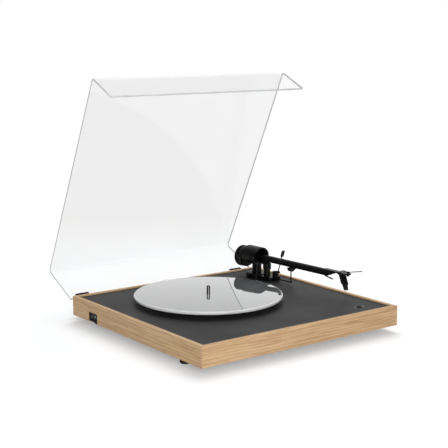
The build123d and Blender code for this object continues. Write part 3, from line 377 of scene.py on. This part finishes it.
# %% Black finishes
satin_look("arm_black", grey(0.002), grey(0.004), (0.34, 0.46), grain=3500.0, mirror=0.22)
satin_look("weight_black", grey(0.002), grey(0.004), (0.35, 0.48), grain=3000.0, bump=0.12, mirror=0.2)
satin_look("fine_steel", grey(0.003), grey(0.006), (0.40, 0.52),
           drift=70.0, grain=3000.0, bump=0.08, mirror=0.2)
satin_look("black_plastic", grey(0.002), grey(0.005), (0.42, 0.56), drift=50.0, bump=0.15, mirror=0.22)
satin_look("stylus_plastic", grey(0.008), grey(0.014), (0.22, 0.32), drift=80.0, bump=0.05)
satin_look("hinge_black", grey(0.004), grey(0.008), (0.40, 0.52), bump=0.12, mirror=0.3)
satin_look("dark_rocker", grey(0.004), grey(0.008), (0.38, 0.50), bump=0.05, mirror=0.25)
satin_look("button_black", grey(0.002), grey(0.004), (0.50, 0.62), drift=80.0, bump=0.08, mirror=0.15)
satin_look("rubber", grey(0.008), grey(0.014), (0.62, 0.80), grain=1800.0, bump=0.25, mirror=0.3)
satin_look("base_board", grey(0.010), grey(0.018), (0.55, 0.72),
           drift=25.0, grain=1500.0, bump=0.25, mirror=0.3)
print(len(looks), "black finishes")

# %% [markdown]
# ## Bare metal and small parts
#
# Screws, bearing, pulley, spindle and sockets are metal, with a metallic shader and a tone of
# their own. The spindle is polished: it mirrors the unlit part of the studio, with the lamp as one
# bright line, and its tone is set far darker than chrome, as painted shade that keeps the mirror
# image dark. The circuit board has its green mask, and the blocks inside the frame are softwood.

# %% Metal and small finishes
satin_look("zinc_steel", (0.50, 0.50, 0.52), (0.62, 0.62, 0.64), (0.28, 0.42),
           drift=90.0, grain=1500.0, bump=0.05, metallic=1.0)
# Its tone is kept far below that of real chrome: painted shade, so the spindle mirrors dark.
satin_look("chrome", (0.12, 0.12, 0.13), (0.16, 0.16, 0.17), (0.03, 0.06),
           drift=50.0, grain=900.0, bump=0.02, metallic=1.0)
satin_look("bearing_brass", (0.55, 0.38, 0.13), (0.68, 0.50, 0.20), (0.20, 0.34),
           drift=80.0, grain=1200.0, bump=0.04, metallic=1.0)
satin_look("bearing_alloy", (0.50, 0.51, 0.52), (0.62, 0.63, 0.64), (0.30, 0.45),
           drift=70.0, grain=1500.0, bump=0.05, metallic=1.0)
satin_look("gold_plate", (0.62, 0.43, 0.14), (0.75, 0.55, 0.22), (0.15, 0.25),
           drift=90.0, grain=1200.0, bump=0.03, metallic=1.0)
satin_look("board_green", (0.010, 0.09, 0.035), (0.016, 0.13, 0.05), (0.35, 0.50), drift=90.0)
satin_look("mark_white", grey(0.55), grey(0.68), (0.40, 0.50), drift=90.0, bump=0.05)
satin_look("softwood", (0.42, 0.29, 0.16), (0.56, 0.41, 0.25), (0.60, 0.75),
           drift=30.0, grain=900.0, bump=0.20)
print(len(looks), "finishes")

# %% [markdown]
# ## Oak for the plinth
#
# The rails are oak with straight grain along each rail: broad warm bands, growth rings cut as
# even lines about six millimetres apart, finer streaks and short dark pores. A sine across the
# grain, with its phase drifting along the board, draws the rings. Noise that is squeezed across
# the grain and stretched along it gives the rest, and a slow wave bends the lines a little, as in
# a real board. The side rails turn the coordinates by a quarter turn first, so their grain runs
# along them too.

# %% Oak group
oak, oak_in, oak_out = new_group("oak_grain", [("Vector", "Vector")], surface_outputs)


def stretched(tree, vector, along, across):
    """Coordinates scaled by different amounts along and across the grain."""
    node = tree.nodes.new("ShaderNodeMapping")
    node.inputs["Scale"].default_value = (along, across, across)
    feed(tree, vector, node.inputs["Vector"])
    return node.outputs[0]


wave = noise_node(oak, stretched(oak, oak_in["Vector"], 3.0, 9.0), 1.0, 1.0)
bend = oak.nodes.new("ShaderNodeCombineXYZ")
shift = math_node(oak, "MULTIPLY", math_node(oak, "SUBTRACT", wave, 0.5), 0.006)
feed(oak, shift, bend.inputs["Y"])
feed(oak, shift, bend.inputs["Z"])
bent = oak.nodes.new("ShaderNodeVectorMath")
bent.operation = "ADD"
feed(oak, oak_in["Vector"], bent.inputs[0])
feed(oak, bend.outputs[0], bent.inputs[1])
board = bent.outputs[0]
bands = noise_node(oak, stretched(oak, board, 1.6, 55.0), 1.0, 3.0)
streaks = noise_node(oak, stretched(oak, board, 7.0, 330.0), 1.0, 2.0, 0.55)
lines = noise_node(oak, stretched(oak, board, 11.0, 620.0), 1.0, 3.0, 0.6)
pores = noise_node(oak, stretched(oak, board, 38.0, 1500.0), 1.0, 2.0)
ring_spacing, ring_wander = 0.006, 9.0
across_board = (0.0, 0.35, 1.0)
ring_drift = noise_node(oak, stretched(oak, board, 2.5, 60.0), 1.0, 2.0)
depth = oak.nodes.new("ShaderNodeVectorMath")
depth.operation = "DOT_PRODUCT"
feed(oak, board, depth.inputs[0])
depth.inputs[1].default_value = across_board
turns = math_node(oak, "MULTIPLY_ADD", depth.outputs["Value"], math.tau / ring_spacing,
                  math_node(oak, "MULTIPLY", ring_drift, ring_wander))
rings = math_node(oak, "SINE", turns, 0.0)
warm = mix_colours(oak, range_node(oak, bands, 0.30, 0.70, 0.0, 1.0), (0.55, 0.357, 0.186, 1),
                   (0.66, 0.468, 0.272, 1))
ringed = mix_colours(oak, range_node(oak, rings, -0.2, 1.0, 0.0, 0.50), warm, (0.43, 0.260, 0.135, 1))
streaked = mix_colours(oak, range_node(oak, streaks, 0.47, 0.63, 0.0, 0.45), ringed,
                       (0.40, 0.225, 0.110, 1))
lined = mix_colours(oak, range_node(oak, lines, 0.50, 0.66, 0.0, 0.60), streaked, (0.29, 0.150, 0.062, 1))
pored = mix_colours(oak, range_node(oak, pores, 0.60, 0.72, 0.0, 0.6), lined, (0.19, 0.100, 0.045, 1))
feed(oak, pored, oak_out["Color"])
feed(oak, range_node(oak, lines, 0.3, 0.7, 0.42, 0.60), oak_out["Roughness"])
feed(oak, math_node(oak, "SUBTRACT", lines, pores), oak_out["Height"])
print("group", oak.name, "with", len(oak.nodes), "nodes")


# %% Oak materials
def oak_look(name, quarter_turn):
    """Oak whose grain runs along X, or along Y after a quarter turn."""
    look, tree, sockets, _ = new_material(name)
    turn = tree.nodes.new("ShaderNodeMapping")
    turn.inputs["Rotation"].default_value = (0, 0, math.radians(quarter_turn))
    feed(tree, tree.nodes.new("ShaderNodeTexCoord").outputs["Object"], turn.inputs["Vector"])
    wood = tree.nodes.new("ShaderNodeGroup")
    wood.node_tree = oak
    feed(tree, turn.outputs[0], wood.inputs["Vector"])
    feed(tree, wood.outputs["Color"], sockets["Base Color"])
    feed(tree, wood.outputs["Roughness"], sockets["Roughness"])
    sockets["Specular IOR Level"].default_value = 0.3
    add_bump(tree, sockets, wood.outputs["Height"], 0.0002, 0.3)
    looks[name] = look


oak_look("oak_along_x", 0)
oak_look("oak_along_y", 90)
print("oak ready")

# %% [markdown]
# ## The deck
#
# The deck is a dark board with a fine pebbled grain, like bookbinder's cloth. Cells of about two
# millimetres with softened borders make that grain, and a slow drift of tone keeps the large flat
# area from looking like paint. Seen at a low angle the pebbles catch the white wall.

# %% Deck material
deck_look, tree, sockets, _ = new_material("deck_black")
where = tree.nodes.new("ShaderNodeTexCoord").outputs["Object"]
cells = tree.nodes.new("ShaderNodeTexVoronoi")
cells.feature = "SMOOTH_F1"
cells.inputs["Scale"].default_value = 430.0
cells.inputs["Smoothness"].default_value = 0.6
feed(tree, where, cells.inputs["Vector"])
ripple = noise_node(tree, where, 700.0, 3.0)
drift = noise_node(tree, where, 9.0, 4.0)
pebble = math_node(tree, "MULTIPLY_ADD", cells.outputs["Distance"], -0.8, ripple)
pebble_share = range_node(tree, pebble, -0.1, 0.5, 0.0, 1.0)
deck_tone = mix_colours(tree, pebble_share, (0.006, 0.006, 0.007, 1), (0.021, 0.021, 0.022, 1))
feed(tree, mix_colours(tree, range_node(tree, drift, 0.35, 0.65, 0.0, 0.35), deck_tone,
                       (0.017, 0.017, 0.018, 1)), sockets["Base Color"])
feed(tree, range_node(tree, drift, 0.3, 0.7, 0.50, 0.60), sockets["Roughness"])
sockets["Specular IOR Level"].default_value = 0.33
add_bump(tree, sockets, pebble, 0.0006, 0.6)
looks["deck_black"] = deck_look
print("deck material with", len(tree.nodes), "nodes")

# %% [markdown]
# ## The glass of the platter
#
# The platter is glass with an etched lower face: at a low angle it mirrors the white wall and the
# tonearm, and little of what lies below shows. A coat stands for the polished upper face and the
# body below it for the lower one, so both mirror, by the shader's own Fresnel. The wall behind a
# product is overexposed, while white here is one, so the index is set higher than that of window
# glass to bring the mirror image to the same brightness. A faint film of dust changes the gloss.
# Etched glass still lets light through, so shadow rays pass in part, and the deck under the rim
# is not black. The rim's pale grey satin is painted light: it stands for the light that the
# polished glass edge gathers and mirrors.

# %% Platter material
platter_look, tree, sockets, end = new_material("platter_glass")
dust = noise_node(tree, tree.nodes.new("ShaderNodeTexCoord").outputs["Object"], 14.0, 5.0, 0.65)
etched_tone = range_node(tree, dust, 0.3, 0.7, 0.0, 1.0)
feed(tree, mix_colours(tree, etched_tone, (0.14, 0.143, 0.145, 1), (0.19, 0.193, 0.195, 1)),
     sockets["Base Color"])
feed(tree, range_node(tree, dust, 0.45, 0.75, 0.02, 0.05), sockets["Roughness"])
sockets["IOR"].default_value = 2.0
sockets["Coat Weight"].default_value = 1.0
sockets["Coat IOR"].default_value = 2.0
light_let_through = 0.75
through = tree.nodes.new("ShaderNodeBsdfTransparent")
shadow_share = math_node(tree, "MULTIPLY", seen_rays(tree, "Is Shadow Ray"), light_let_through)
feed(tree, mix_shaders(tree, shadow_share, end.links[0].from_socket, through.outputs[0]), end)
looks["platter_glass"] = platter_look
# Pale grey painted on the rim, as painted light for what the glass edge gathers and mirrors.
satin_look("glass_rim_painted_light", grey(0.60), grey(0.70), (0.30, 0.42), drift=40.0, grain=1500.0)
print("platter material with", len(tree.nodes), "nodes")

# %% [markdown]
# ## The acrylic of the lid
#
# The lid is clear acrylic sheet, four millimetres thick. A sheet with parallel faces hardly moves
# what is seen through it, so most light passes it straight, with a slight tint at each face. The
# refracting shader has a small share, for the weak gloss. Rays that come from other surfaces, and
# shadow rays, pass straight too, so the deck keeps its light. The two folded strips mirror more
# of the white wall at their low angle and darken less, so they have a lighter tint. The sawn
# edges gather light along the sheet and get a pale finish of their own.


# %% Lid materials
def acrylic_look(name, tint, gloss_share):
    """Clear sheet that lets most light straight through."""
    look, tree, sockets, end = new_material(name)
    sockets["Base Color"].default_value = (0.95, 0.952, 0.955, 1)
    sockets["IOR"].default_value = 1.49
    sockets["Transmission Weight"].default_value = 1.0
    dust = noise_node(tree, tree.nodes.new("ShaderNodeTexCoord").outputs["Object"], 14.0, 5.0, 0.65)
    feed(tree, range_node(tree, dust, 0.45, 0.75, 0.0, 0.02), sockets["Roughness"])
    passing = tree.nodes.new("ShaderNodeBsdfTransparent")
    passing.inputs["Color"].default_value = (tint, tint, tint, 1)
    other_rays = seen_rays(tree, "Is Shadow Ray", "Is Diffuse Ray", "Is Glossy Ray")
    passing_share = math_node(tree, "MAXIMUM", other_rays, 1 - gloss_share)
    feed(tree, mix_shaders(tree, passing_share, end.links[0].from_socket, passing.outputs[0]), end)
    looks[name] = look


acrylic_look("clear_acrylic", 0.950, 0.06)
acrylic_look("acrylic_strip", 0.975, 0.06)
satin_look("acrylic_edge", grey(0.56), grey(0.66), (0.2, 0.3), drift=40.0, grain=900.0, bump=0.05)
print("lid finishes ready")

# %% [markdown]
# ## Finishes on the CAD pieces
#
# Every CAD piece has a slot in the record, and each slot has a finish above. The oak is the only
# slot with two: the front and rear rails run along X, the side rails along Y.

# %% Assign finishes
slot_of = {entry["node"]: entry["material_slot"] for entry in frame["record"]["subparts"]}
looks["oak"] = looks["oak_along_x"]
for name, thing in nodes.items():
    look = looks["oak_along_y"] if name in ("left_rail", "right_rail") else looks[slot_of[name]]
    thing.data.materials.clear()
    thing.data.materials.append(look)
print("finishes on", len(nodes), "CAD pieces")

# %% [markdown]
# ## Keeping a new piece
#
# A new piece is built in a bmesh, in its final place. Keeping it means the same few steps each
# time: smooth it but keep its sharp edges and its large flat faces, write the mesh, give it its
# finishes, hang it on the empty of the body it rides on, and hide the CAD pieces it stands for. A
# large flat face next to a rounded edge must not be smoothed: its shading would bend with the
# edge, and a mirror or a clear sheet would show a bent picture.


# %% Piece helper
def keep_piece(name, mesh, body, finishes, stands_for=(), flat_from=1.0):
    """Turns a bmesh into a finished piece, with faces over a given area left flat."""
    for face in mesh.faces:
        face.smooth = face.calc_area() < flat_from
    data = bpy.data.meshes.new(name)
    mesh.to_mesh(data)
    mesh.free()
    data.set_sharp_from_angle(angle=math.radians(35))
    for finish in finishes:
        data.materials.append(looks[finish])
    thing = bpy.data.objects.new(name, data)
    scene.collection.objects.link(thing)
    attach(thing, body)
    if stands_for:
        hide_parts(*stands_for)
    print("piece", name, "on", body, "with", len(data.polygons), "faces")
    return thing


def path_edges(mesh, points, closed):
    """Edges along a few points."""
    corners = [mesh.verts.new(point) for point in points]
    ends = corners[1:] + corners[:1] if closed else corners[1:]
    return [mesh.edges.new(pair) for pair in zip(corners, ends)]


def section_edges(mesh, place, radii, levels):
    """Edges around a small upright rectangle, from two radii and two levels, ready to be spun."""
    corners = ((radii[0], levels[0]), (radii[1], levels[0]), (radii[1], levels[1]), (radii[0], levels[1]))
    return path_edges(mesh, [place @ Vector((radius, 0, level)) for radius, level in corners], True)


# %% [markdown]
# ## The glass platter
#
# The real platter is a disc of glass with a polished, rounded rim. A rectangle spun about the
# spindle gives the disc, and a bevel on its two outer edges gives the rim. Its lower face is kept
# a hair above the hub that carries it, so that the two faces don't lie in one plane.

# %% Platter disc
platter_radius = 0.150
platter_hole = 0.0051
platter_low = -0.00648
rim_round = 0.0026
platter = bmesh.new()
section = section_edges(platter, Matrix.Identity(4), (platter_hole, platter_radius), (platter_low, 0))
bmesh.ops.spin(platter, geom=platter.verts[:] + section, cent=(0, 0, 0), axis=(0, 0, 1),
               angle=math.tau, steps=400, use_merge=True)
bmesh.ops.remove_doubles(platter, verts=platter.verts, dist=0.00001)
rim = [edge for edge in platter.edges
       if all(vert.co.xy.length > platter_radius - 0.0001 for vert in edge.verts)
       and abs(edge.verts[0].co.z - edge.verts[1].co.z) < 0.0001]
bmesh.ops.bevel(platter, geom=rim, offset=rim_round, offset_type="OFFSET", segments=6, profile=0.5,
                affect="EDGES", material=-1)
bmesh.ops.recalc_face_normals(platter, faces=platter.faces)
# The rim's faces take the pale grey painted-light finish.
for face in platter.faces:
    at_rim = face.calc_center_median().xy.length > platter_radius - rim_round
    face.material_index = 1 if at_rim else 0
keep_piece("platter_disc", platter, "platter", ["platter_glass", "glass_rim_painted_light"],
           ["glass_platter"], flat_from=0.00005)

# %% [markdown]
# ## The lid
#
# The lid is one sheet of clear acrylic, folded twice over a hot wire. It is made the same way
# here: a strip along the fold line's profile, two rounded folds from a bevel, and a wall from
# Solidify's bmesh twin. The sawn and polished edges gather light along the sheet, so they look
# pale grey and get a finish of their own.

# %% Lid sheet
lid_tilt = math.radians(64.3)
hinge_line = Vector((0, 0.2074, -0.0336))
lid_left, lid_width, lid_wall = -0.205, 0.470, 0.004
lid_rear, lid_front, lid_top = 0.0124, 0.4714, 0.098
rear_end, front_end = -0.003, 0.023
fold_round, edge_break = 0.008, 0.0004


def lid_point(x, forward, up):
    """A point of the open lid from its place in the lid's own section."""
    return hinge_line + Vector((x, up * math.sin(lid_tilt) - forward * math.cos(lid_tilt),
                                forward * math.sin(lid_tilt) + up * math.cos(lid_tilt)))


def lid_section(point):
    """How far forward and up a point is in the lid's own section."""
    offset = point - hinge_line
    return (offset.z * math.sin(lid_tilt) - offset.y * math.cos(lid_tilt),
            offset.y * math.sin(lid_tilt) + offset.z * math.cos(lid_tilt))


lid = bmesh.new()
profile = path_edges(lid, [lid_point(lid_left, *place) for place in
                           ((lid_rear, rear_end), (lid_rear, lid_top), (lid_front, lid_top),
                            (lid_front, front_end))], False)
drawn = bmesh.ops.extrude_edge_only(lid, edges=profile)
bmesh.ops.translate(lid, verts=[item for item in drawn["geom"] if isinstance(item, bmesh.types.BMVert)],
                    vec=(lid_width, 0, 0))
folds = [edge for edge in lid.edges if len(edge.link_faces) == 2]
bmesh.ops.bevel(lid, geom=folds, offset=fold_round, offset_type="OFFSET", segments=8, profile=0.5,
                affect="EDGES", material=-1)
bmesh.ops.recalc_face_normals(lid, faces=lid.faces)
middle = lid_point(lid_left + lid_width / 2, (lid_rear + lid_front) / 2, lid_top / 2)
outward = sum((1 if face.normal.dot(face.calc_center_median() - middle) > 0 else -1) for face in lid.faces)
bmesh.ops.solidify(lid, geom=lid.faces[:], thickness=lid_wall if outward > 0 else -lid_wall)
bmesh.ops.recalc_face_normals(lid, faces=lid.faces)
for face in lid.faces:
    forward, up = lid_section(face.calc_center_median())
    at_rear_end = forward < 0.05 and abs(up - rear_end) < 0.0001
    at_front_end = forward > 0.05 and abs(up - front_end) < 0.0001
    if abs(face.normal.x) > 0.9 or at_rear_end or at_front_end:
        face.material_index = 2
    elif up < lid_top - fold_round:
        face.material_index = 1
corners = [edge for edge in lid.edges if len(edge.link_faces) == 2 and edge.calc_face_angle() > 1.2]
bmesh.ops.bevel(lid, geom=corners, offset=edge_break, offset_type="OFFSET", segments=2, profile=0.5,
                affect="EDGES", material=-1)
keep_piece("lid_sheet", lid, "lid", ["clear_acrylic", "acrylic_strip", "acrylic_edge"],
           ["lid_cover"], flat_from=0.01)

# %% [markdown]
# ## The frame of the tonearm
#
# The tonearm's parts are easiest to build along their own axis: X from the pivot to the head, Y
# outwards, Z up. One matrix takes them from there to their place at rest. The cartridge has a
# second one, because it is turned inwards by its offset angle.

# %% Tonearm matrices
rest_turn = math.radians(4.0)
arm_pivot = Vector((0.215, 0.114, 0.030))
arm_along = Vector((math.sin(rest_turn), -math.cos(rest_turn), 0))
arm_out = Vector((math.cos(rest_turn), math.sin(rest_turn), 0))
arm_place = Matrix.Translation(arm_pivot) @ Matrix((arm_along, arm_out, (0, 0, 1))).transposed().to_4x4()
stylus_reach = arm_pivot.xy.length + 0.025
offset_turn = math.radians(20.4)
cartridge_place = (arm_place @ Matrix.Translation((stylus_reach, 0, 0))
                   @ Matrix.Rotation(-offset_turn, 4, "Z"))
lie_along = Matrix.Rotation(math.radians(90), 4, "Y")
print("stylus", round(stylus_reach, 4), "m from the pivot")

# %% [markdown]
# ## The grip on the counterweight
#
# The rear ring of the counterweight has fine ridges, so that fingers can turn it. A tube with
# many sides, of which every second row of corners is pushed out a little, makes those ridges
# with few faces. A wall closes it into a ring that sits on the weight.

# %% Counterweight grip
grip_radius, grip_height, grip_length = 0.0226, 0.0006, 0.0066
grip_ridges, grip_wall = 72, 0.001
grip_middle, weight_drop = -0.0459, 0.005
grip = bmesh.new()
bmesh.ops.create_cone(grip, cap_ends=False, segments=2 * grip_ridges, radius1=grip_radius,
                      radius2=grip_radius, depth=grip_length)
step = math.tau / (2 * grip_ridges)
ridge_tops = [vert for vert in grip.verts if round(math.atan2(vert.co.y, vert.co.x) / step) % 2]
growth = 1 + grip_height / grip_radius
bmesh.ops.scale(grip, vec=(growth, growth, 1), verts=ridge_tops)
bmesh.ops.recalc_face_normals(grip, faces=grip.faces)
bmesh.ops.solidify(grip, geom=grip.faces[:], thickness=grip_wall)
bmesh.ops.transform(grip, verts=grip.verts,
                    matrix=arm_place @ Matrix.Translation((grip_middle, 0, -weight_drop)) @ lie_along)
bmesh.ops.recalc_face_normals(grip, faces=grip.faces)
keep_piece("weight_grip", grip, "weight", ["weight_black"])

# %% [markdown]
# ## Caps over the bearing pins
#
# The arm rocks on two pins in the hood. On the real hood each pin ends under a small domed cap.
# A short profile spun about the pin's axis makes one, and both go into one piece.

# %% Pivot caps
hood_radius = 0.022
cap_profile = ((0, 0.0013), (0.0016, 0.0011), (0.0027, 0.0004), (0.003, -0.0006), (0, -0.0006))
caps = bmesh.new()
for side in (-1, 1):
    cap = bmesh.new()
    dome = path_edges(cap, [(radius, 0, height) for radius, height in cap_profile], False)
    bmesh.ops.spin(cap, geom=cap.verts[:] + dome, cent=(0, 0, 0), axis=(0, 0, 1), angle=math.tau, steps=32,
                   use_merge=True)
    bmesh.ops.remove_doubles(cap, verts=cap.verts, dist=0.00001)
    face_out = Matrix.Rotation(math.radians(-90 * side), 4, "X")
    bmesh.ops.transform(cap, verts=cap.verts,
                        matrix=arm_place @ Matrix.Translation((0, side * hood_radius, 0)) @ face_out)
    bmesh.ops.recalc_face_normals(cap, faces=cap.faces)
    half = bpy.data.meshes.new("cap")
    cap.to_mesh(half)
    cap.free()
    caps.from_mesh(half)
    bpy.data.meshes.remove(half)
keep_piece("pivot_caps", caps, "yoke", ["arm_black"])

# %% [markdown]
# ## Contact pins of the cartridge
#
# A cartridge has four gilded pins at its back, two above two, where the arm's fine leads plug on.
# Four slim cylinders with rounded ends make them. They start a little inside the raked back of
# the body, so that no gap shows.

# %% Cartridge pins
pin_radius, pin_length, pin_inside, pin_round = 0.0006, 0.0052, 0.0012, 0.0003
pin_spread = 0.0025
pin_rows = ((-0.0220, -0.003), (-0.0191, -0.007))
pins = bmesh.new()
for back, height in pin_rows:
    for side in (-pin_spread, pin_spread):
        middle_x = back + pin_inside - pin_length / 2
        bmesh.ops.create_cone(pins, cap_ends=True, segments=16, radius1=pin_radius, radius2=pin_radius,
                              depth=pin_length,
                              matrix=Matrix.Translation((middle_x, side, height)) @ lie_along)
round_ends = [edge for edge in pins.edges if edge.calc_face_angle(0) > 1.2]
bmesh.ops.bevel(pins, geom=round_ends, offset=pin_round, offset_type="OFFSET", segments=2, profile=0.5,
                affect="EDGES", material=-1)
bmesh.ops.transform(pins, verts=pins.verts, matrix=cartridge_place)
keep_piece("cartridge_pins", pins, "arm", ["gold_plate"])

# %% [markdown]
# ## Rubber on the lift bar
#
# The bar that lifts the arm carries a strip of rubber, so that the arm doesn't slide on it. The
# strip follows the bar's arc about the pivot: a small rectangle spun through the bar's angle.

# %% Lift pad
pad_radii, pad_levels = (0.0316, 0.0344), (0.0223, 0.02265)
pad_start, pad_sweep = rest_turn + math.radians(11.0), math.radians(-67.0)
pad = bmesh.new()
pad_turn = Matrix.Rotation(pad_start - math.pi / 2, 4, "Z")
pad_place = Matrix.Translation((arm_pivot.x, arm_pivot.y, 0)) @ pad_turn
strip = section_edges(pad, pad_place, pad_radii, pad_levels)
bmesh.ops.spin(pad, geom=pad.verts[:] + strip, cent=(arm_pivot.x, arm_pivot.y, 0), axis=(0, 0, 1),
               angle=pad_sweep, steps=36)
bmesh.ops.remove_doubles(pad, verts=pad.verts, dist=0.00001)
bmesh.ops.holes_fill(pad, edges=[edge for edge in pad.edges if len(edge.link_faces) == 1])
bmesh.ops.recalc_face_normals(pad, faces=pad.faces)
keep_piece("lift_pad", pad, "lift", ["rubber"])

# %% [markdown]
# ## Marks by the speed button
#
# Two small figures beside the button name the two speeds, and a dot above it is the lamp that
# shows that the motor runs. Figures are text, made a mesh, laid flat on the deck and given a
# little thickness. They are printed in pale ink. The button itself sits in a flat black ring.

# %% Speed marks
button_middle = Vector((0.206, -0.221, 0))
deck_level = -0.0146
mark_rise, mark_size, mark_reach = 0.00004, 0.0046, 0.0105
dot_radii = (0.0009, 0.0007)
marks = bmesh.new()
for words, sideways in (("33", -mark_reach), ("45", mark_reach)):
    line = bpy.data.curves.new("figures", "FONT")
    line.body = words
    line.size = mark_size
    line.extrude = mark_rise
    line.align_x = "CENTER"
    line.align_y = "CENTER"
    holder = bpy.data.objects.new("figures", line)
    flat = bpy.data.meshes.new_from_object(holder)
    flat.transform(Matrix.Translation(button_middle + Vector((sideways, 0, deck_level))))
    marks.from_mesh(flat)
    bpy.data.objects.remove(holder)
    bpy.data.curves.remove(line)
    bpy.data.meshes.remove(flat)
dot_middle = button_middle + Vector((0, mark_reach - 0.002, deck_level))
bmesh.ops.create_cone(marks, cap_ends=True, segments=24, radius1=dot_radii[0], radius2=dot_radii[1],
                      depth=2 * mark_rise, matrix=Matrix.Translation(dot_middle))
bmesh.ops.remove_doubles(marks, verts=marks.verts, dist=0.000001)
keep_piece("speed_marks", marks, "plinth", ["mark_white"])

# %% Button ring
ring_radii, ring_height = (0.0047, 0.0062), 0.0003
button_ring = bmesh.new()
ring_place = Matrix.Translation(button_middle + Vector((0, 0, deck_level)))
ring_section = section_edges(button_ring, ring_place, ring_radii, (0, ring_height))
bmesh.ops.spin(button_ring, geom=button_ring.verts[:] + ring_section, cent=button_middle, axis=(0, 0, 1),
               angle=math.tau, steps=48, use_merge=True)
bmesh.ops.remove_doubles(button_ring, verts=button_ring.verts, dist=0.000001)
bmesh.ops.recalc_face_normals(button_ring, faces=button_ring.faces)
keep_piece("button_ring", button_ring, "plinth", ["button_black"])

# %% [markdown]
# ## Marks on the power rocker
#
# A bar and a ring on the rocker tell on from off. Where the rocker's faces lie is asked of the
# CAD mesh itself: a ray from the left, at the height of each mark, gives the point and the way
# that the face looks there. Each mark is then laid on that spot.

# %% Rocker marks
rocker = nodes["power_rocker"]
rocker_low, rocker_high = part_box("power_rocker")
rocker_middle = (rocker_low.y + rocker_high.y) / 2
rocker_marks = bmesh.new()
mark_spread, mark_wall = 0.006, 0.00012
bar_size = (0.0007, 0.0040, mark_wall)
ring_sides = (0.0014, 0.0020)
for along, kind in ((-mark_spread, "ring"), (mark_spread, "bar")):
    start = Vector((rocker_low.x - 0.05, rocker_middle + along, (rocker_low.z + rocker_high.z) / 2))
    _, spot, facing, _ = rocker.ray_cast(start, Vector((1, 0, 0)))
    lay = Matrix.Translation(spot) @ facing.to_track_quat("Z", "Y").to_matrix().to_4x4()
    if kind == "bar":
        bmesh.ops.create_cube(rocker_marks, size=1.0, matrix=lay @ Matrix.Diagonal((*bar_size, 1)))
    else:
        ring = section_edges(rocker_marks, lay, ring_sides, (0, mark_wall))
        corners = list({vert for edge in ring for vert in edge.verts})
        bmesh.ops.spin(rocker_marks, geom=corners + ring, cent=spot, axis=facing, angle=math.tau, steps=32,
                       use_merge=True)
bmesh.ops.remove_doubles(rocker_marks, verts=rocker_marks.verts, dist=0.000001)
bmesh.ops.recalc_face_normals(rocker_marks, faces=rocker_marks.faces)
keep_piece("rocker_marks", rocker_marks, "rocker", ["mark_white"])
